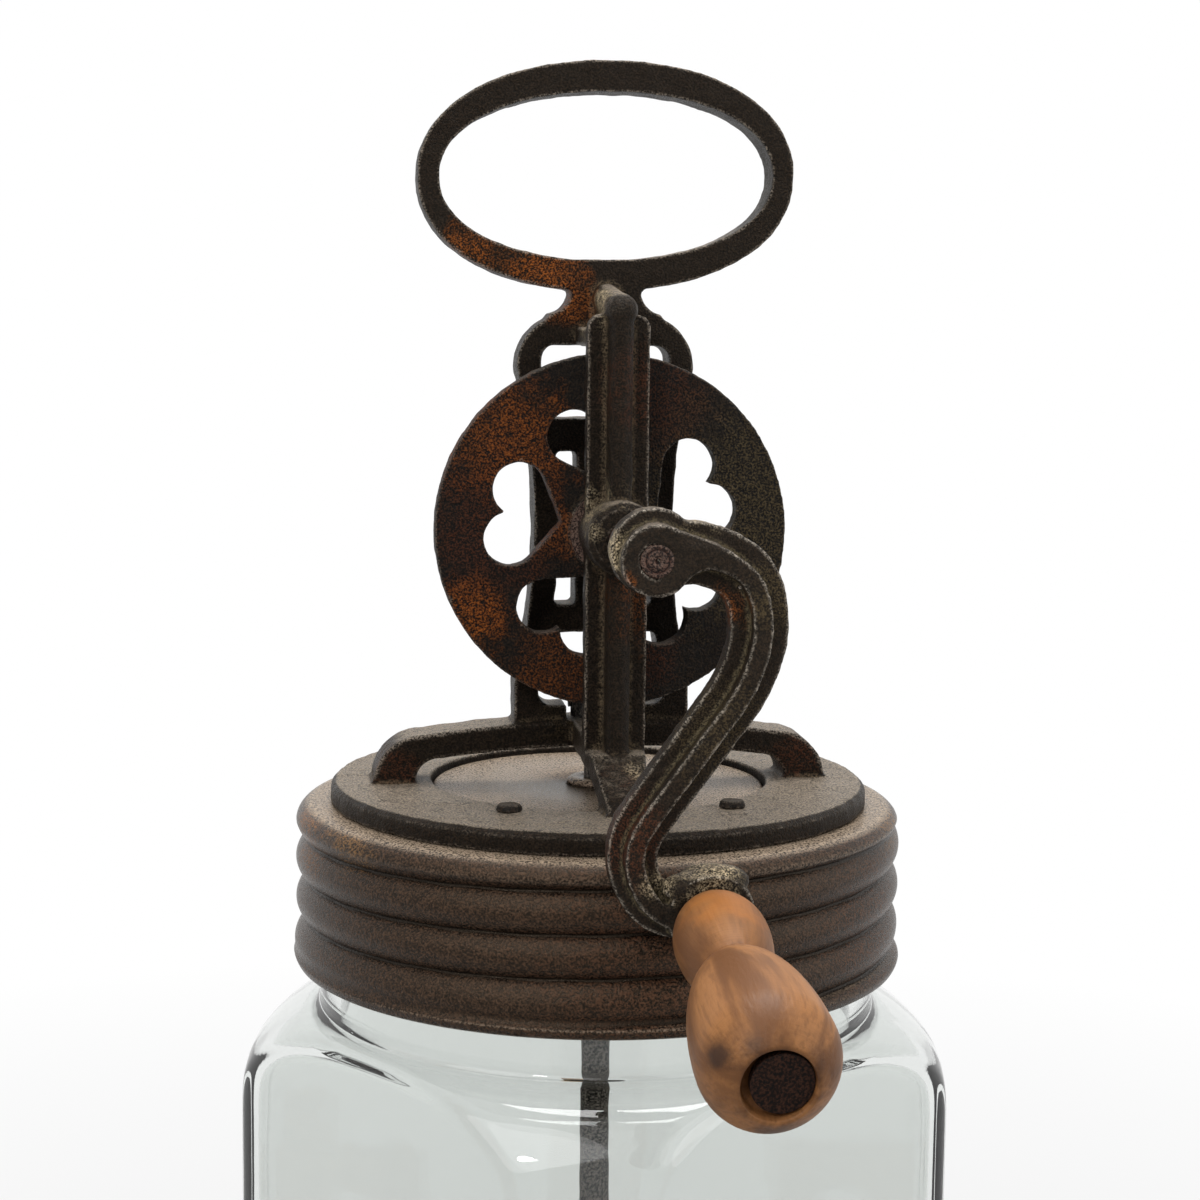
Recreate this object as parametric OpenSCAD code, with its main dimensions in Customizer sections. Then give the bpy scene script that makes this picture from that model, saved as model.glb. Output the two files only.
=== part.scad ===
// Glass jar butter churn: a square glass jar under a screw cap that carries a cast iron gear head.
// A crank on the front turns a large toothed wheel, which turns a small pinion and the dasher below it.
// Origin at the middle of the jar's foot, +Z up, the crank on the -Y side. Lengths are millimetres.

/* [Jar] */
// Width of the jar across its flat sides
jar_w = 138; // [132:1:170]
// Height of the jar from foot to lip
jar_h = 200; // [192:1:240]
// Height of the straight walls below the shoulder
jar_wall_h = 132; // [110:1:134]
// Leg of the flat cut along each upright corner
jar_corner = 22; // [14:1:28]
// Radius of the round shoulder
shoulder_r = 26; // [18:1:30]
// Thickness of the glass wall
jar_wall = 5; // [3:0.5:6]
// Thickness of the glass floor
jar_floor = 7; // [5:0.5:8]
// Outer radius of the neck
neck_r = 64.6; // [62:0.1:65]
// Turn of the jar under the lid when the lid is tight
jar_turn = 36; // [0:1:90]

/* [Screw cap] */
// Outer radius of the cap at its rolled ribs
cap_r = 70; // [69:0.5:74]
// Height of the cap
cap_h = 36.8; // [32:0.2:40]
// Thickness of the tinned sheet
cap_t = 1.2; // [0.8:0.1:1.5]
// Rise of the screw thread in one turn
thread_pitch = 9.4; // [8:0.1:11]
// Depth of the rolled ribs
rib_depth = 2.2; // [1.6:0.1:2.6]
// Turns of thread on the jar
thread_turns = 1.5; // [1:0.25:2]
// Rise of the cap's middle inside the base ring
dome_rise = 3.5; // [1:0.5:4]
// Thickness of the seal under the cap
seal_t = 3; // [2:0.5:4]

/* [Cast frame] */
// Outer radius of the base ring
ring_r = 62; // [58:0.5:65]
// Radius of the opening in the base ring
ring_hole_r = 39; // [36:0.5:40]
// Thickness of the base ring
ring_t = 5; // [4:0.5:7]
// Radius of the circle of rivets through ring and cap
rivet_circle_r = 44.5; // [43:0.5:52]
// Angle of the front rivets from the front leg
rivet_angle = 33.5; // [28:0.5:50]
// Diameter of the rivets
rivet_d = 3.6; // [3:0.2:4.4]
// Reach of the side legs from the middle
leg_reach = 52.5; // [48:0.5:55]
// Height of the bridge's top above the ring
bridge_h = 14.2; // [13:0.2:18]
// Thickness of the bridge
bridge_t = 6; // [5:0.2:7]
// Depth of the bridge from front to back
bridge_d = 12; // [10:0.5:14]
// Clearance between the wheel's rim and the head of the frame above it
head_gap = 1.54; // [1:0.02:7]
// Width of the rear frame across its shoulders
frame_w = 40.5; // [38:0.5:46]
// Width of the rear frame at its waist
waist_w = 31.8; // [30:0.2:34]
// Width of each upright of the rear frame
upright_w = 5.6; // [4.5:0.1:6]
// Depth of the rear frame from front to back
frame_d = 10; // [8:0.5:10.5]
// Width of the front post
post_w = 13.8; // [12:0.2:18]
// Thickness of the front post's flat web
post_t = 4.5; // [3.5:0.1:6]
// Width of the round rib down the front post
post_rib_w = 5.2; // [4:0.2:7]
// Reach of that rib in front of the web
post_rib_d = 6; // [4:0.5:8]
// Reach of the shaft boss in front of the post's web
post_boss_l = 12; // [10:0.5:18]
// Width of the carrying loop
loop_w = 85.4; // [80:0.2:95]
// Height of the carrying loop
loop_h = 51.2; // [46:0.2:56]
// Thickness of the loop at its sides
loop_side_t = 4.9; // [4:0.1:8]
// Thickness of the loop at top and bottom
loop_top_t = 7; // [5:0.1:9]
// Depth of the loop from front to back
loop_d = 10; // [8:0.5:12]

/* [Gears] */
// Height of the crank shaft above the ring
shaft_h = 59; // [58:0.5:61]
// Teeth on the drive wheel
wheel_teeth = 40; // [36:4:44]
// Teeth on the pinion
pinion_teeth = 10; // [9:1:11]
// Pitch radius of the drive wheel
wheel_pitch_r = 36; // [35:0.5:36.5]
// Thickness of the wheel's web behind its face
wheel_t = 5.5; // [4.5:0.1:6]
// Distance of the wheel's face in front of the spindle
wheel_front = 18; // [17:0.5:19]
// Width of the toothed face
tooth_face = 7; // [5:0.5:8]
// Height of a tooth above the pitch line
tooth_top = 1.3; // [1:0.1:1.5]
// Depth of a tooth below the pitch line
tooth_root = 1.9; // [1.6:0.1:2.2]
// Number of heart shaped holes in the wheel
hearts = 5; // [3:1:5]
// Turn of the hearts about the shaft
heart_turn = 8; // [0:1:71]

/* [Crank] */
// Diameter of the crank shaft
shaft_d = 7; // [6:0.2:8]
// Distance of the crank's face in front of the spindle
crank_front = 81.5; // [76:0.5:95]
// Length of the crank's hub
crank_hub_l = 12; // [10:0.5:24]
// Diameter of the crank's hub
crank_hub_d = 14.6; // [13:0.2:17]
// Drop of the grip below the shaft
crank_drop = 72; // [64:0.5:80]
// Sideways place of the grip
crank_side = 12; // [8:0.2:18]
// Width of the crank arm at its upper bend
arm_w = 13; // [11:0.2:14]
// Width of the crank arm at the grip
arm_end_w = 9; // [8:0.2:10]
// Thickness of the crank arm's flat web
arm_t = 5; // [4:0.2:6]
// Angle by which the grip leans outward
grip_lean = 10; // [0:0.5:20]
// Length of the wooden grip
grip_l = 71; // [62:1:80]
// Largest diameter of the grip
grip_d = 26.8; // [24:0.2:32]
// Diameter of the rod inside the grip
grip_rod_d = 6; // [5:0.2:7]

/* [Dasher] */
// Diameter of the spindle
spindle_d = 6.6; // [5.6:0.2:7.4]
// Width of the dasher boards
board_w = 90; // [70:1:104]
// Height of the dasher boards
board_h = 70; // [60:1:90]
// Thickness of the dasher boards
board_t = 9; // [8:0.5:11]
// Height of the boards above the jar's floor
board_lift = 9; // [8:0.5:14]
// Diameter of the holes in the boards
board_hole_d = 18; // [12:1:20]

/* [Fits] */
// Radial clearance of turning shafts
run_clear = 0.05; // [0.02:0.01:0.1]
// Radial clearance of pinned and riveted pieces
pin_clear = 0.03; // [0.02:0.01:0.05]
// Gap between faces that turn past each other
face_gap = 0.3; // [0.2:0.05:0.5]

/* [Hidden] */
$fn = 64;

iron = [0.20, 0.17, 0.15];
rusty_iron = [0.30, 0.20, 0.14];
tin = [0.27, 0.22, 0.20];
oak = [0.60, 0.40, 0.24];
pale_wood = [0.72, 0.60, 0.45];
steel = [0.42, 0.38, 0.35];
glass = [0.82, 0.88, 0.85, 0.5];
rubber = [0.35, 0.22, 0.18];

// Levels and depths that several pieces share
cap_top = jar_h + seal_t + cap_t;
cap_foot = cap_top - cap_h;
dome_top = cap_top + dome_rise;
deck_z = cap_top + ring_t;
shaft_z = deck_z + shaft_h;
shaft_r = shaft_d / 2;
spindle_r = spindle_d / 2;
neck_bore_r = neck_r - jar_wall;
cut = 1;
overlap = 0.01;

// Bevel pair: both pitch cones meet where the shaft's line crosses the spindle's
pinion_pitch_r = wheel_pitch_r * pinion_teeth / wheel_teeth;
pinion_hub_r = 6.6;
tooth_pitch = 360 / wheel_teeth;
cone_outer = 1 + tooth_face / wheel_pitch_r / 3;
cone_inner = cone_outer - tooth_face / wheel_pitch_r;
rim_lip = 0.8;
wheel_r = wheel_pitch_r * cone_outer + tooth_top * pinion_pitch_r / wheel_pitch_r + rim_lip;
arc_pitch = 2 * PI * wheel_pitch_r / wheel_teeth;
tooth_mid_w = arc_pitch * 0.36;
tooth_slope = 0.34;
tooth_sink = 0.4;
rim_back_edge = 0.5;

// The front post and the crank stand in front of the wheel
post_gap = 3.5;
post_back = wheel_front + post_gap;
post_front = post_back + post_t;
post_foot_h = 11;
post_boss_r = 8;
post_boss_front = post_front + post_boss_l;
post_boss_proud = 0.9;
post_boss_back = post_back - post_boss_proud;
washer_t = 1.3;
wheel_hub_r = 10;
wheel_hub_front = post_boss_back - face_gap - washer_t;
frame_boss_r = 8;
frame_boss_proud = 1;
frame_boss_half = frame_d / 2 + frame_boss_proud;
wheel_hub_back = frame_boss_half + face_gap;
wheel_back = wheel_front - wheel_t;
rear_collar_l = 6;
rear_collar_r = 7;
cross_pin_d = 2.2;
cross_pin_proud = 0.6;
pin_hole_d = cross_pin_d + 2 * pin_clear;
wheel_pin_at = (wheel_hub_back + wheel_back) / 2;
collar_pin_at = -frame_boss_half - face_gap - rear_collar_l / 2;

// Rear frame levels above the ring
low_bar = [shaft_h - 24.5, shaft_h - 18];
high_bar = [shaft_h + 17, shaft_h + 24.5];
sill_t = 3.4;
head_t = 7;
shoulder_h = shaft_h + wheel_r + head_gap + head_t;
loop_neck_h = 5.2;
loop_foot = shoulder_h + loop_neck_h;

// Crank arm
arm_depth = 9;
arm_back = crank_front - arm_depth;
arm_rib_w = 4;
crank_web_r = crank_hub_d / 2 + 1.5;
crank_web_up = 1.4;

// Local frames: seen from the front, with z counted forward from the spindle
module from_deck() { translate([0, 0, deck_z]) rotate([90, 0, 0]) children(); }
module from_shaft() { translate([0, 0, shaft_z]) rotate([90, 0, 0]) children(); }
module from_side(w) { translate([w / 2, 0, deck_z]) rotate([90, 0, -90]) linear_extrude(w) children(); }
module between(back, front) { translate([0, 0, back]) linear_extrude(front - back) children(); }
module rod(r, from, to) { translate([0, 0, from]) cylinder(r = r, h = to - from); }
module both_sides() {
    children();
    mirror([1, 0, 0]) children();
}

// A hole, or the pin for it, across an upright piece at a height
module across(z, d, l) { translate([0, 0, z]) rotate([0, 90, 0]) cylinder(d = d, h = l, center = true); }

// Glass jar

// Plan of the jar at an inset from its outer face: a square with its corners cut flat
module jar_plan(inset) {
    half = jar_w / 2 - inset;
    leg = jar_corner - inset * (2 - sqrt(2));
    polygon([for (q = [0:3]) for (end = [0, 1])
        let (a = q * 90, p = end == 0 ? [half, half - leg] : [half - leg, half])
        [p[0] * cos(a) - p[1] * sin(a), p[0] * sin(a) + p[1] * cos(a)]]);
}

// Round body that rises from the corners, rolls over the shoulder and becomes the neck
corner_bulge = 2.2;
module jar_round(inset, foot, top) {
    corner_r = (jar_w - jar_corner) / sqrt(2) + corner_bulge - inset;
    r = shoulder_r - inset;
    rotate_extrude() {
        translate([0, foot]) square([corner_r, jar_wall_h - foot]);
        translate([0, jar_wall_h]) square([corner_r - r, r]);
        translate([0, jar_wall_h]) intersection() {
            translate([corner_r - r, 0]) circle(r);
            square([corner_r, r]);
        }
        square([neck_r - inset, top]);
    }
}

module jar_body(inset, foot, top) {
    intersection() {
        rotate([0, 0, jar_turn]) translate([0, 0, foot]) linear_extrude(top - foot) jar_plan(inset);
        jar_round(inset, foot, top);
    }
}

// One raised bead that winds round the neck, with tapered ends
bead_reach = cap_r - rib_depth / 2 - cap_t - face_gap - neck_r;
bead_half = 3.4;
bead_crest_half = 1;
bead_sink = 0.6;
bead_step = 15;
bead_ramp = 40;
bead_foot_z = cap_foot + thread_pitch + 0.8;
function bead_rise(a, end) = min(1, a / bead_ramp, (end - a) / bead_ramp);
module neck_bead() {
    end = thread_turns * 360;
    n = round(end / bead_step);
    root = neck_r - bead_sink;
    points = [for (i = [0:n])
        let (a = end * i / n, z = bead_foot_z + thread_pitch * a / 360,
             crest = neck_r + overlap + bead_reach * bead_rise(a, end))
        for (p = [
            [root, -bead_half], [crest, -bead_crest_half], [crest, bead_crest_half], [root, bead_half]
        ])
        [p[0] * cos(a), p[0] * sin(a), z + p[1]]];
    sides = [for (i = [0:n - 1]) for (j = [0:3])
        let (p = 4 * i + j, q = 4 * i + (j + 1) % 4)
        each [[p, q, p + 4], [q, q + 4, p + 4]]];
    last = 4 * n;
    ends = [[2, 1, 0], [3, 2, 0], [last, last + 1, last + 2], [last, last + 2, last + 3]];
    polyhedron(points, concat(sides, ends));
}

module glass_jar() color(glass) {
    difference() {
        union() {
            jar_body(0, 0, jar_h);
            neck_bead();
        }
        jar_body(jar_wall, jar_floor, jar_h + cut);
    }
}

// Screw cap and seal

module lid_seal() color(rubber) {
    translate([0, 0, jar_h]) difference() {
        cylinder(r = neck_r, h = seal_t);
        translate([0, 0, -cut]) cylinder(r = neck_bore_r, h = seal_t + 2 * cut);
    }
}

// Cap skirt: a wall whose radius swells and shrinks along a rising thread
cap_sides = 40;
cap_rows = 21;
cap_edge_r = 3;
cap_mid_r = cap_r - rib_depth / 2;
rim_h = 3;
fade_h = 3;
skirt_top = cap_top - cap_edge_r;
skirt_tuck = 0.5;
function fade(z) = max(0, min(1, (z - cap_foot - rim_h) / fade_h, (skirt_top - z) / fade_h));
function rib_wave(z, a) = cos(360 * (z - bead_foot_z) / thread_pitch - a) * rib_depth / 2 * fade(z);
function rim_swell(z) = z < cap_foot + rim_h ? rib_depth / 3 : 0;
function skirt_r(z, a) = cap_mid_r + rib_wave(z, a) + rim_swell(z);
function row_z(i) = cap_foot + (skirt_top + skirt_tuck - cap_foot) * i / (cap_rows - 1);

module cap_skirt() {
    rows = 2 * cap_rows;
    points = [for (s = [0:cap_sides - 1]) let (a = 360 * s / cap_sides)
        each concat(
            [for (i = [0:cap_rows - 1]) let (z = row_z(i), r = skirt_r(z, a)) [r * cos(a), r * sin(a), z]],
            [for (i = [cap_rows - 1:-1:0]) let (z = row_z(i), r = skirt_r(z, a) - cap_t)
                [r * cos(a), r * sin(a), z]])];
    faces = [for (s = [0:cap_sides - 1]) for (i = [0:rows - 1])
        let (p = s * rows + i, q = s * rows + (i + 1) % rows,
             u = ((s + 1) % cap_sides) * rows + i, v = ((s + 1) % cap_sides) * rows + (i + 1) % rows)
        each [[p, q, u], [q, v, u]]];
    polyhedron(points, faces);
}

// Cap crown: the flat top with a rolled edge, a little thicker than the skirt that tucks into it,
// and its middle pressed up inside the base ring
dome_r = ring_hole_r - 0.6;
crown_r = cap_mid_r + 0.15;
crown_edge_t = cap_t + 0.5;
module cap_crown() {
    flat_r = crown_r - cap_edge_r;
    translate([0, 0, skirt_top]) rotate_extrude() difference() {
        union() {
            square([flat_r, cap_edge_r]);
            square([dome_r, cap_edge_r + dome_rise]);
            intersection() {
                translate([flat_r, 0]) circle(cap_edge_r);
                square([crown_r, cap_edge_r]);
            }
        }
        square([flat_r, cap_edge_r - cap_t]);
        square([dome_r - cap_t, cap_edge_r + dome_rise - cap_t]);
        intersection() {
            translate([flat_r, 0]) circle(cap_edge_r - crown_edge_t);
            square([crown_r, cap_edge_r]);
        }
    }
}

bush_r = 6;
bush_flange_r = 9;
bush_flange_t = 1.8;
bush_tail = 7;

module at_rivets() {
    for (a = [rivet_angle, 180 - rivet_angle, 180 + rivet_angle, -rivet_angle])
        rotate([0, 0, a - 90]) translate([rivet_circle_r, 0, 0]) children();
}

module screw_cap() color(tin) {
    cap_skirt();
    difference() {
        cap_crown();
        rod(bush_r + pin_clear, cap_foot, deck_z);
        at_rivets() rod(rivet_d / 2 + pin_clear, cap_foot, deck_z);
    }
}

module cap_rivets() color(steel) {
    head_r = rivet_d * 0.8;
    head_h = rivet_d * 0.45;
    tail_t = 1;
    tail_z = cap_top - cap_t - tail_t;
    at_rivets() {
        rod(rivet_d / 2, tail_z, deck_z + overlap);
        rod(head_r, tail_z, tail_z + tail_t);
        translate([0, 0, deck_z]) rotate_extrude() intersection() {
            circle(head_r);
            square([head_r, head_h]);
        }
    }
}

module spindle_bush() color(steel) {
    difference() {
        union() {
            rod(bush_r, dome_top - cap_t - bush_tail, dome_top + overlap);
            rod(bush_flange_r, dome_top, dome_top + bush_flange_t);
        }
        rod(spindle_r + run_clear, cap_foot, dome_top + bush_flange_t + cut);
    }
}

// Cast frame

module base_ring() color(iron) {
    edge = 1.2;
    difference() {
        translate([0, 0, cap_top]) rotate_extrude() polygon([
            [ring_hole_r, 0], [ring_r, 0], [ring_r, ring_t - edge],
            [ring_r - edge, ring_t], [ring_hole_r, ring_t]
        ]);
        at_rivets() rod(rivet_d / 2 + pin_clear, cap_foot, deck_z + cut);
    }
}

// Rectangle standing on the deck with round upper corners
module arch(half, h, r) {
    translate([-half, 0]) square([2 * half, h - r]);
    translate([-half + r, 0]) square([2 * (half - r), h]);
    both_sides() translate([half - r, h - r]) circle(r);
}

// Low arch whose top bows down a little and then rounds off to the deck at each end
bridge_bow_r = 280;
function bow_drop(x) = x * x / (2 * bridge_bow_r);
module bowed_arch(half, h) {
    r = h - bow_drop(half - h * 0.8);
    intersection() {
        translate([r - half, 0]) square([2 * (half - r), h]);
        translate([0, h - bridge_bow_r]) circle(bridge_bow_r, $fn = 400);
    }
    both_sides() intersection() {
        translate([half - r, 0]) circle(r);
        translate([half - r - overlap, 0]) square([r + overlap, r]);
    }
}

bridge_under = bridge_h - bridge_t;
bridge_hub_r = 9;
front_leg_toe = 47;
toe_t = 3.5;
toe_w = 8;
leg_foot_w = 9.5;

module bridge_legs() color(iron) {
    difference() {
        union() {
            from_deck() between(-bridge_d / 2, bridge_d / 2) difference() {
                bowed_arch(leg_reach, bridge_h);
                bowed_arch(leg_reach - leg_foot_w, bridge_under);
            }
            translate([0, 0, deck_z + bridge_under]) cylinder(r = bridge_hub_r, h = bridge_t);
            front_leg();
        }
        translate([0, 0, deck_z - cut]) cylinder(r = spindle_r + run_clear, h = bridge_h + 2 * cut);
    }
}

// Front leg: runs forward from the bridge under the post and down to a narrow toe on the ring
module front_leg() {
    heel = bridge_d / 2 - cut;
    knee = post_front + post_rib_d;
    intersection() {
        from_side(post_w) polygon([
            [heel, bridge_h], [post_back - cut, bridge_h],
            [post_back - cut, post_foot_h], [knee, post_foot_h],
            [front_leg_toe - toe_t, toe_t], [front_leg_toe, 0], [ring_hole_r + overlap, 0],
            [knee - toe_t, bridge_under - 1], [heel, bridge_under]
        ]);
        translate([0, 0, deck_z]) linear_extrude(bridge_h + cut) polygon([
            [-post_w / 2, 0], [-post_w / 2, -post_front], [-toe_w / 2, -front_leg_toe],
            [toe_w / 2, -front_leg_toe], [post_w / 2, -post_front], [post_w / 2, 0]
        ]);
    }
}

// What the waist takes from each side of the rear frame, inset by a wall: a large arc
waist_reach = 36;
module waist(inset) {
    sag = (frame_w - waist_w) / 2;
    bow_r = (waist_reach * waist_reach + sag * sag) / (2 * sag);
    both_sides() translate([waist_w / 2 + bow_r, shaft_h]) circle(bow_r + inset, $fn = 200);
}

// Opening between two levels, its corners round
window_r = 3;
module ladder_window(from, to) {
    half = frame_w / 2 - upright_w;
    mid = (from + to) / 2;
    difference() {
        translate([0, mid]) {
            arch(half, (to - from) / 2, window_r);
            mirror([0, 1]) arch(half, (to - from) / 2, window_r);
        }
        waist(upright_w);
    }
}

neck_half = 8;
neck_fillet = 5;
strap_half = 6.4;
sill_gap_half = pinion_hub_r + cross_pin_proud + 1;

module rear_frame() color(iron) {
    corner = 12;
    from_deck() difference() {
        union() {
            between(-frame_d / 2, frame_d / 2) difference() {
                union() {
                    translate([0, bridge_h]) arch(frame_w / 2, shoulder_h - bridge_h, corner);
                    frame_neck();
                }
                waist(0);
                translate([-sill_gap_half, bridge_h - cut]) square([2 * sill_gap_half, sill_t + 3 * cut]);
                ladder_window(bridge_h + sill_t, low_bar[0]);
                ladder_window(low_bar[1], high_bar[0]);
                ladder_window(high_bar[1], shoulder_h - head_t);
            }
            between(-frame_d / 2, frame_d / 2) translate([-strap_half, low_bar[1] - cut])
                square([2 * strap_half, high_bar[0] - low_bar[1] + 2 * cut]);
            translate([0, shaft_h, 0]) rod(frame_boss_r, -frame_boss_half, frame_boss_half);
        }
        translate([0, shaft_h, 0]) rod(shaft_r + run_clear, -frame_d, frame_d);
        translate([0, low_bar[0] - cut, 0]) rotate([-90, 0, 0])
            cylinder(r = spindle_r + run_clear, h = low_bar[1] - low_bar[0] + cut);
    }
}

// Neck above the shoulders, with hollow fillets at its foot
module frame_neck() {
    translate([-neck_half, shoulder_h - cut]) square([2 * neck_half, loop_foot - shoulder_h + cut]);
    both_sides() difference() {
        translate([neck_half - cut, shoulder_h - cut]) square([neck_fillet + cut, neck_fillet + cut]);
        translate([neck_half + neck_fillet, shoulder_h + neck_fillet]) circle(neck_fillet);
    }
}

// Section of the post: a flat web with a round rib down its front
module post_section() {
    translate([-post_w / 2, -post_front]) square([post_w, post_t]);
    translate([-post_rib_w / 2, -post_front - post_rib_d + post_rib_w / 2])
        square([post_rib_w, post_rib_d - post_rib_w / 2 + cut]);
    translate([0, -post_front - post_rib_d + post_rib_w / 2]) circle(d = post_rib_w);
}

// Ridge that carries the rib over the top of the post, round a blunt nose, and back to the neck
module post_ridge(back) {
    ridge_r = post_rib_w / 2 + 0.6;
    nose = post_front + post_rib_d - ridge_r;
    nose_h = 1;
    back_h = 3.6;
    run = nose - back;
    rise = back_h - nose_h;
    from_side(2 * ridge_r - 0.8) translate([0, shoulder_h]) polygon([
        [back, -head_t], [back, back_h], [nose, nose_h], [nose, -head_t / 2], [post_front, -head_t]
    ]);
    translate([0, -nose, deck_z + shoulder_h + nose_h]) difference() {
        union() {
            sphere(ridge_r + 0.4);
            rotate([atan2(rise, run) - 90, 0, 0]) cylinder(r = ridge_r, h = run + 1);
        }
        translate([-post_w, run, -post_w]) cube(2 * post_w);
    }
}

// Front post: stands on the front leg, and its head runs back to the rear frame's shoulders
module front_post() color(iron) {
    frame_front = frame_d / 2;
    boss_edge = 1.4;
    difference() {
        union() {
            intersection() {
                translate([0, 0, deck_z + post_foot_h])
                    linear_extrude(shoulder_h - post_foot_h) post_section();
                from_deck() between(0, post_front + post_rib_d) arch(post_w / 2, shoulder_h, window_r);
            }
            translate([-post_w / 2, -post_front, deck_z + shoulder_h - head_t])
                cube([post_w, post_front - frame_front, head_t - window_r]);
            post_ridge(frame_front);
            from_shaft() rod(post_boss_r, post_boss_back, post_boss_front - boss_edge);
            from_shaft() translate([0, 0, post_boss_front - boss_edge])
                cylinder(r1 = post_boss_r, r2 = post_boss_r - boss_edge, h = boss_edge);
        }
        from_shaft() rod(shaft_r + run_clear, post_boss_back - cut, post_boss_front + cut);
    }
}

// Oval with slightly square shoulders, from a formula
function oval_point(a, half_w, half_h) =
    let (n = 2.15, c = cos(a), s = sin(a))
    [half_w * sign(c) * pow(abs(c), 2 / n), half_h * sign(s) * pow(abs(s), 2 / n)];
module oval(w, h) { polygon([for (i = [0:59]) oval_point(i * 6, w / 2, h / 2)]); }

module carry_loop() color(iron) {
    from_deck() between(-loop_d / 2, loop_d / 2) difference() {
        union() {
            translate([0, loop_foot + loop_h / 2]) oval(loop_w, loop_h);
            translate([-neck_half, loop_foot]) square([2 * neck_half, loop_top_t / 2]);
        }
        translate([0, loop_foot + loop_h / 2]) oval(loop_w - 2 * loop_side_t, loop_h - 2 * loop_top_t);
    }
}

// Crank shaft and drive wheel

module crank_shaft() color(steel) {
    from_shaft() difference() {
        rod(shaft_r, -frame_boss_half - face_gap - rear_collar_l - cut, crank_front);
        across(wheel_pin_at, pin_hole_d, 2 * shaft_d);
        across(collar_pin_at, pin_hole_d, 2 * shaft_d);
    }
}

// Heart shaped hole with its point towards the hub
heart_tip = 11.5;
lobe_r = 6;
lobe_at = [22, 5.6];
module heart() {
    reach = norm(lobe_at - [heart_tip, 0]);
    lean = atan2(lobe_at[1], lobe_at[0] - heart_tip);
    touch = lean + asin(lobe_r / reach);
    side = sqrt(reach * reach - lobe_r * lobe_r);
    edge = [heart_tip + side * cos(touch), side * sin(touch)];
    polygon([[heart_tip, 0], edge, lobe_at, [lobe_at[0], -lobe_at[1]], [edge[0], -edge[1]]]);
    translate(lobe_at) circle(lobe_r);
    translate([lobe_at[0], -lobe_at[1]]) circle(lobe_r);
}

// One tooth as a tapered bar whose edges all run to the point where the two cones meet.
// away is the distance from the axis, along the distance from that point along the axis.
module tooth(away, along, out_away, out_along) {
    base = tooth_mid_w + 2 * tooth_slope * tooth_root;
    tip = tooth_mid_w - 2 * tooth_slope * tooth_top;
    foot = -tooth_root - tooth_sink;
    section = [[-base / 2, foot], [base / 2, foot], [tip / 2, tooth_top], [-tip / 2, tooth_top]];
    points = [for (k = [cone_inner, cone_outer]) for (p = section)
        [k * p[0], k * (away + out_away * p[1]), k * (along + out_along * p[1])]];
    polyhedron(points, [
        [3, 2, 1, 0], [5, 6, 7, 4], [1, 5, 4, 0], [2, 6, 5, 1], [3, 7, 6, 2], [0, 4, 7, 3]
    ]);
}

module drive_wheel() color(rusty_iron) {
    cone_tan = pinion_pitch_r / wheel_pitch_r;
    root_out = (pinion_pitch_r + tooth_root) * cone_outer;
    root_in = (pinion_pitch_r + tooth_root) * cone_inner;
    rim_in = wheel_pitch_r * cone_inner;
    rim_out = wheel_pitch_r * cone_outer;
    from_shaft() difference() {
        union() {
            rotate_extrude() polygon([
                [0, wheel_back], [rim_in - 1.5, wheel_back],
                [rim_in - cone_tan, root_in], [rim_in, root_in], [rim_out, root_out],
                [wheel_r, root_out + rim_back_edge], [wheel_r, wheel_front], [0, wheel_front]
            ]);
            rod(wheel_hub_r, wheel_hub_back, wheel_hub_front);
            for (i = [0:wheel_teeth - 1]) rotate([0, 0, (i + 0.5) * tooth_pitch])
                tooth(-wheel_pitch_r, pinion_pitch_r, 0, -1);
        }
        rod(shaft_r + pin_clear, wheel_hub_back - cut, wheel_hub_front + cut);
        across(wheel_pin_at, pin_hole_d, 3 * wheel_hub_r);
        for (i = [0:hearts - 1]) rotate([0, 0, 90 + heart_turn + i * 360 / hearts])
            between(wheel_back - 3 * cut, wheel_front + cut) heart();
    }
}

module wheel_pin() color(steel) {
    from_shaft() across(wheel_pin_at, cross_pin_d, 2 * (wheel_hub_r + cross_pin_proud));
}

module thrust_washer() color(steel) {
    from_shaft() difference() {
        rod(wheel_hub_r - 0.5, wheel_hub_front, wheel_hub_front + washer_t);
        rod(shaft_r + run_clear, wheel_hub_front - cut, wheel_hub_front + washer_t + cut);
    }
}

module rear_collar() color(iron) {
    back = collar_pin_at - rear_collar_l / 2;
    from_shaft() difference() {
        rod(rear_collar_r, back, back + rear_collar_l);
        rod(shaft_r + pin_clear, back - cut, back + rear_collar_l + cut);
        across(collar_pin_at, pin_hole_d, 3 * rear_collar_r);
    }
}

module rear_collar_pin() color(steel) {
    from_shaft() across(collar_pin_at, cross_pin_d, 2 * (rear_collar_r + cross_pin_proud));
}

// Crank arm: an S shaped web with a raised rib, from the hub to the grip

// Guide points of the S as shares of the grip's drop, fitted afterwards to the grip's sideways place
function arm_guide() = [
    [0, 0], [0.126, 0.015], [0.261, -0.052], [0.3, -0.193], [0.259, -0.348], [0.154, -0.503],
    [0.04, -0.657], [-0.04, -0.779], [-0.046, -0.878], [0.003, -0.97], [0.081, -1.009], [0.167, -1]
];
function guide(i) =
    let (p = arm_guide(), last = len(p) - 1, q = p[max(0, min(last, i))])
    [q[0] * crank_drop + (p[last][0] * crank_drop - crank_side) * q[1], q[1] * crank_drop];
function weave(i, t) =
    let (a = guide(i - 1), b = guide(i), c = guide(i + 1), d = guide(i + 2))
    (2 * b + (c - a) * t + (2 * a - 5 * b + 4 * c - d) * t * t + (3 * b - a - 3 * c + d) * t * t * t) / 2;
arm_steps = 4;
function arm_line() = concat(
    [for (i = [0:len(arm_guide()) - 2]) for (k = [0:arm_steps - 1]) weave(i, k / arm_steps)],
    [guide(len(arm_guide()) - 1)]);
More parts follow.
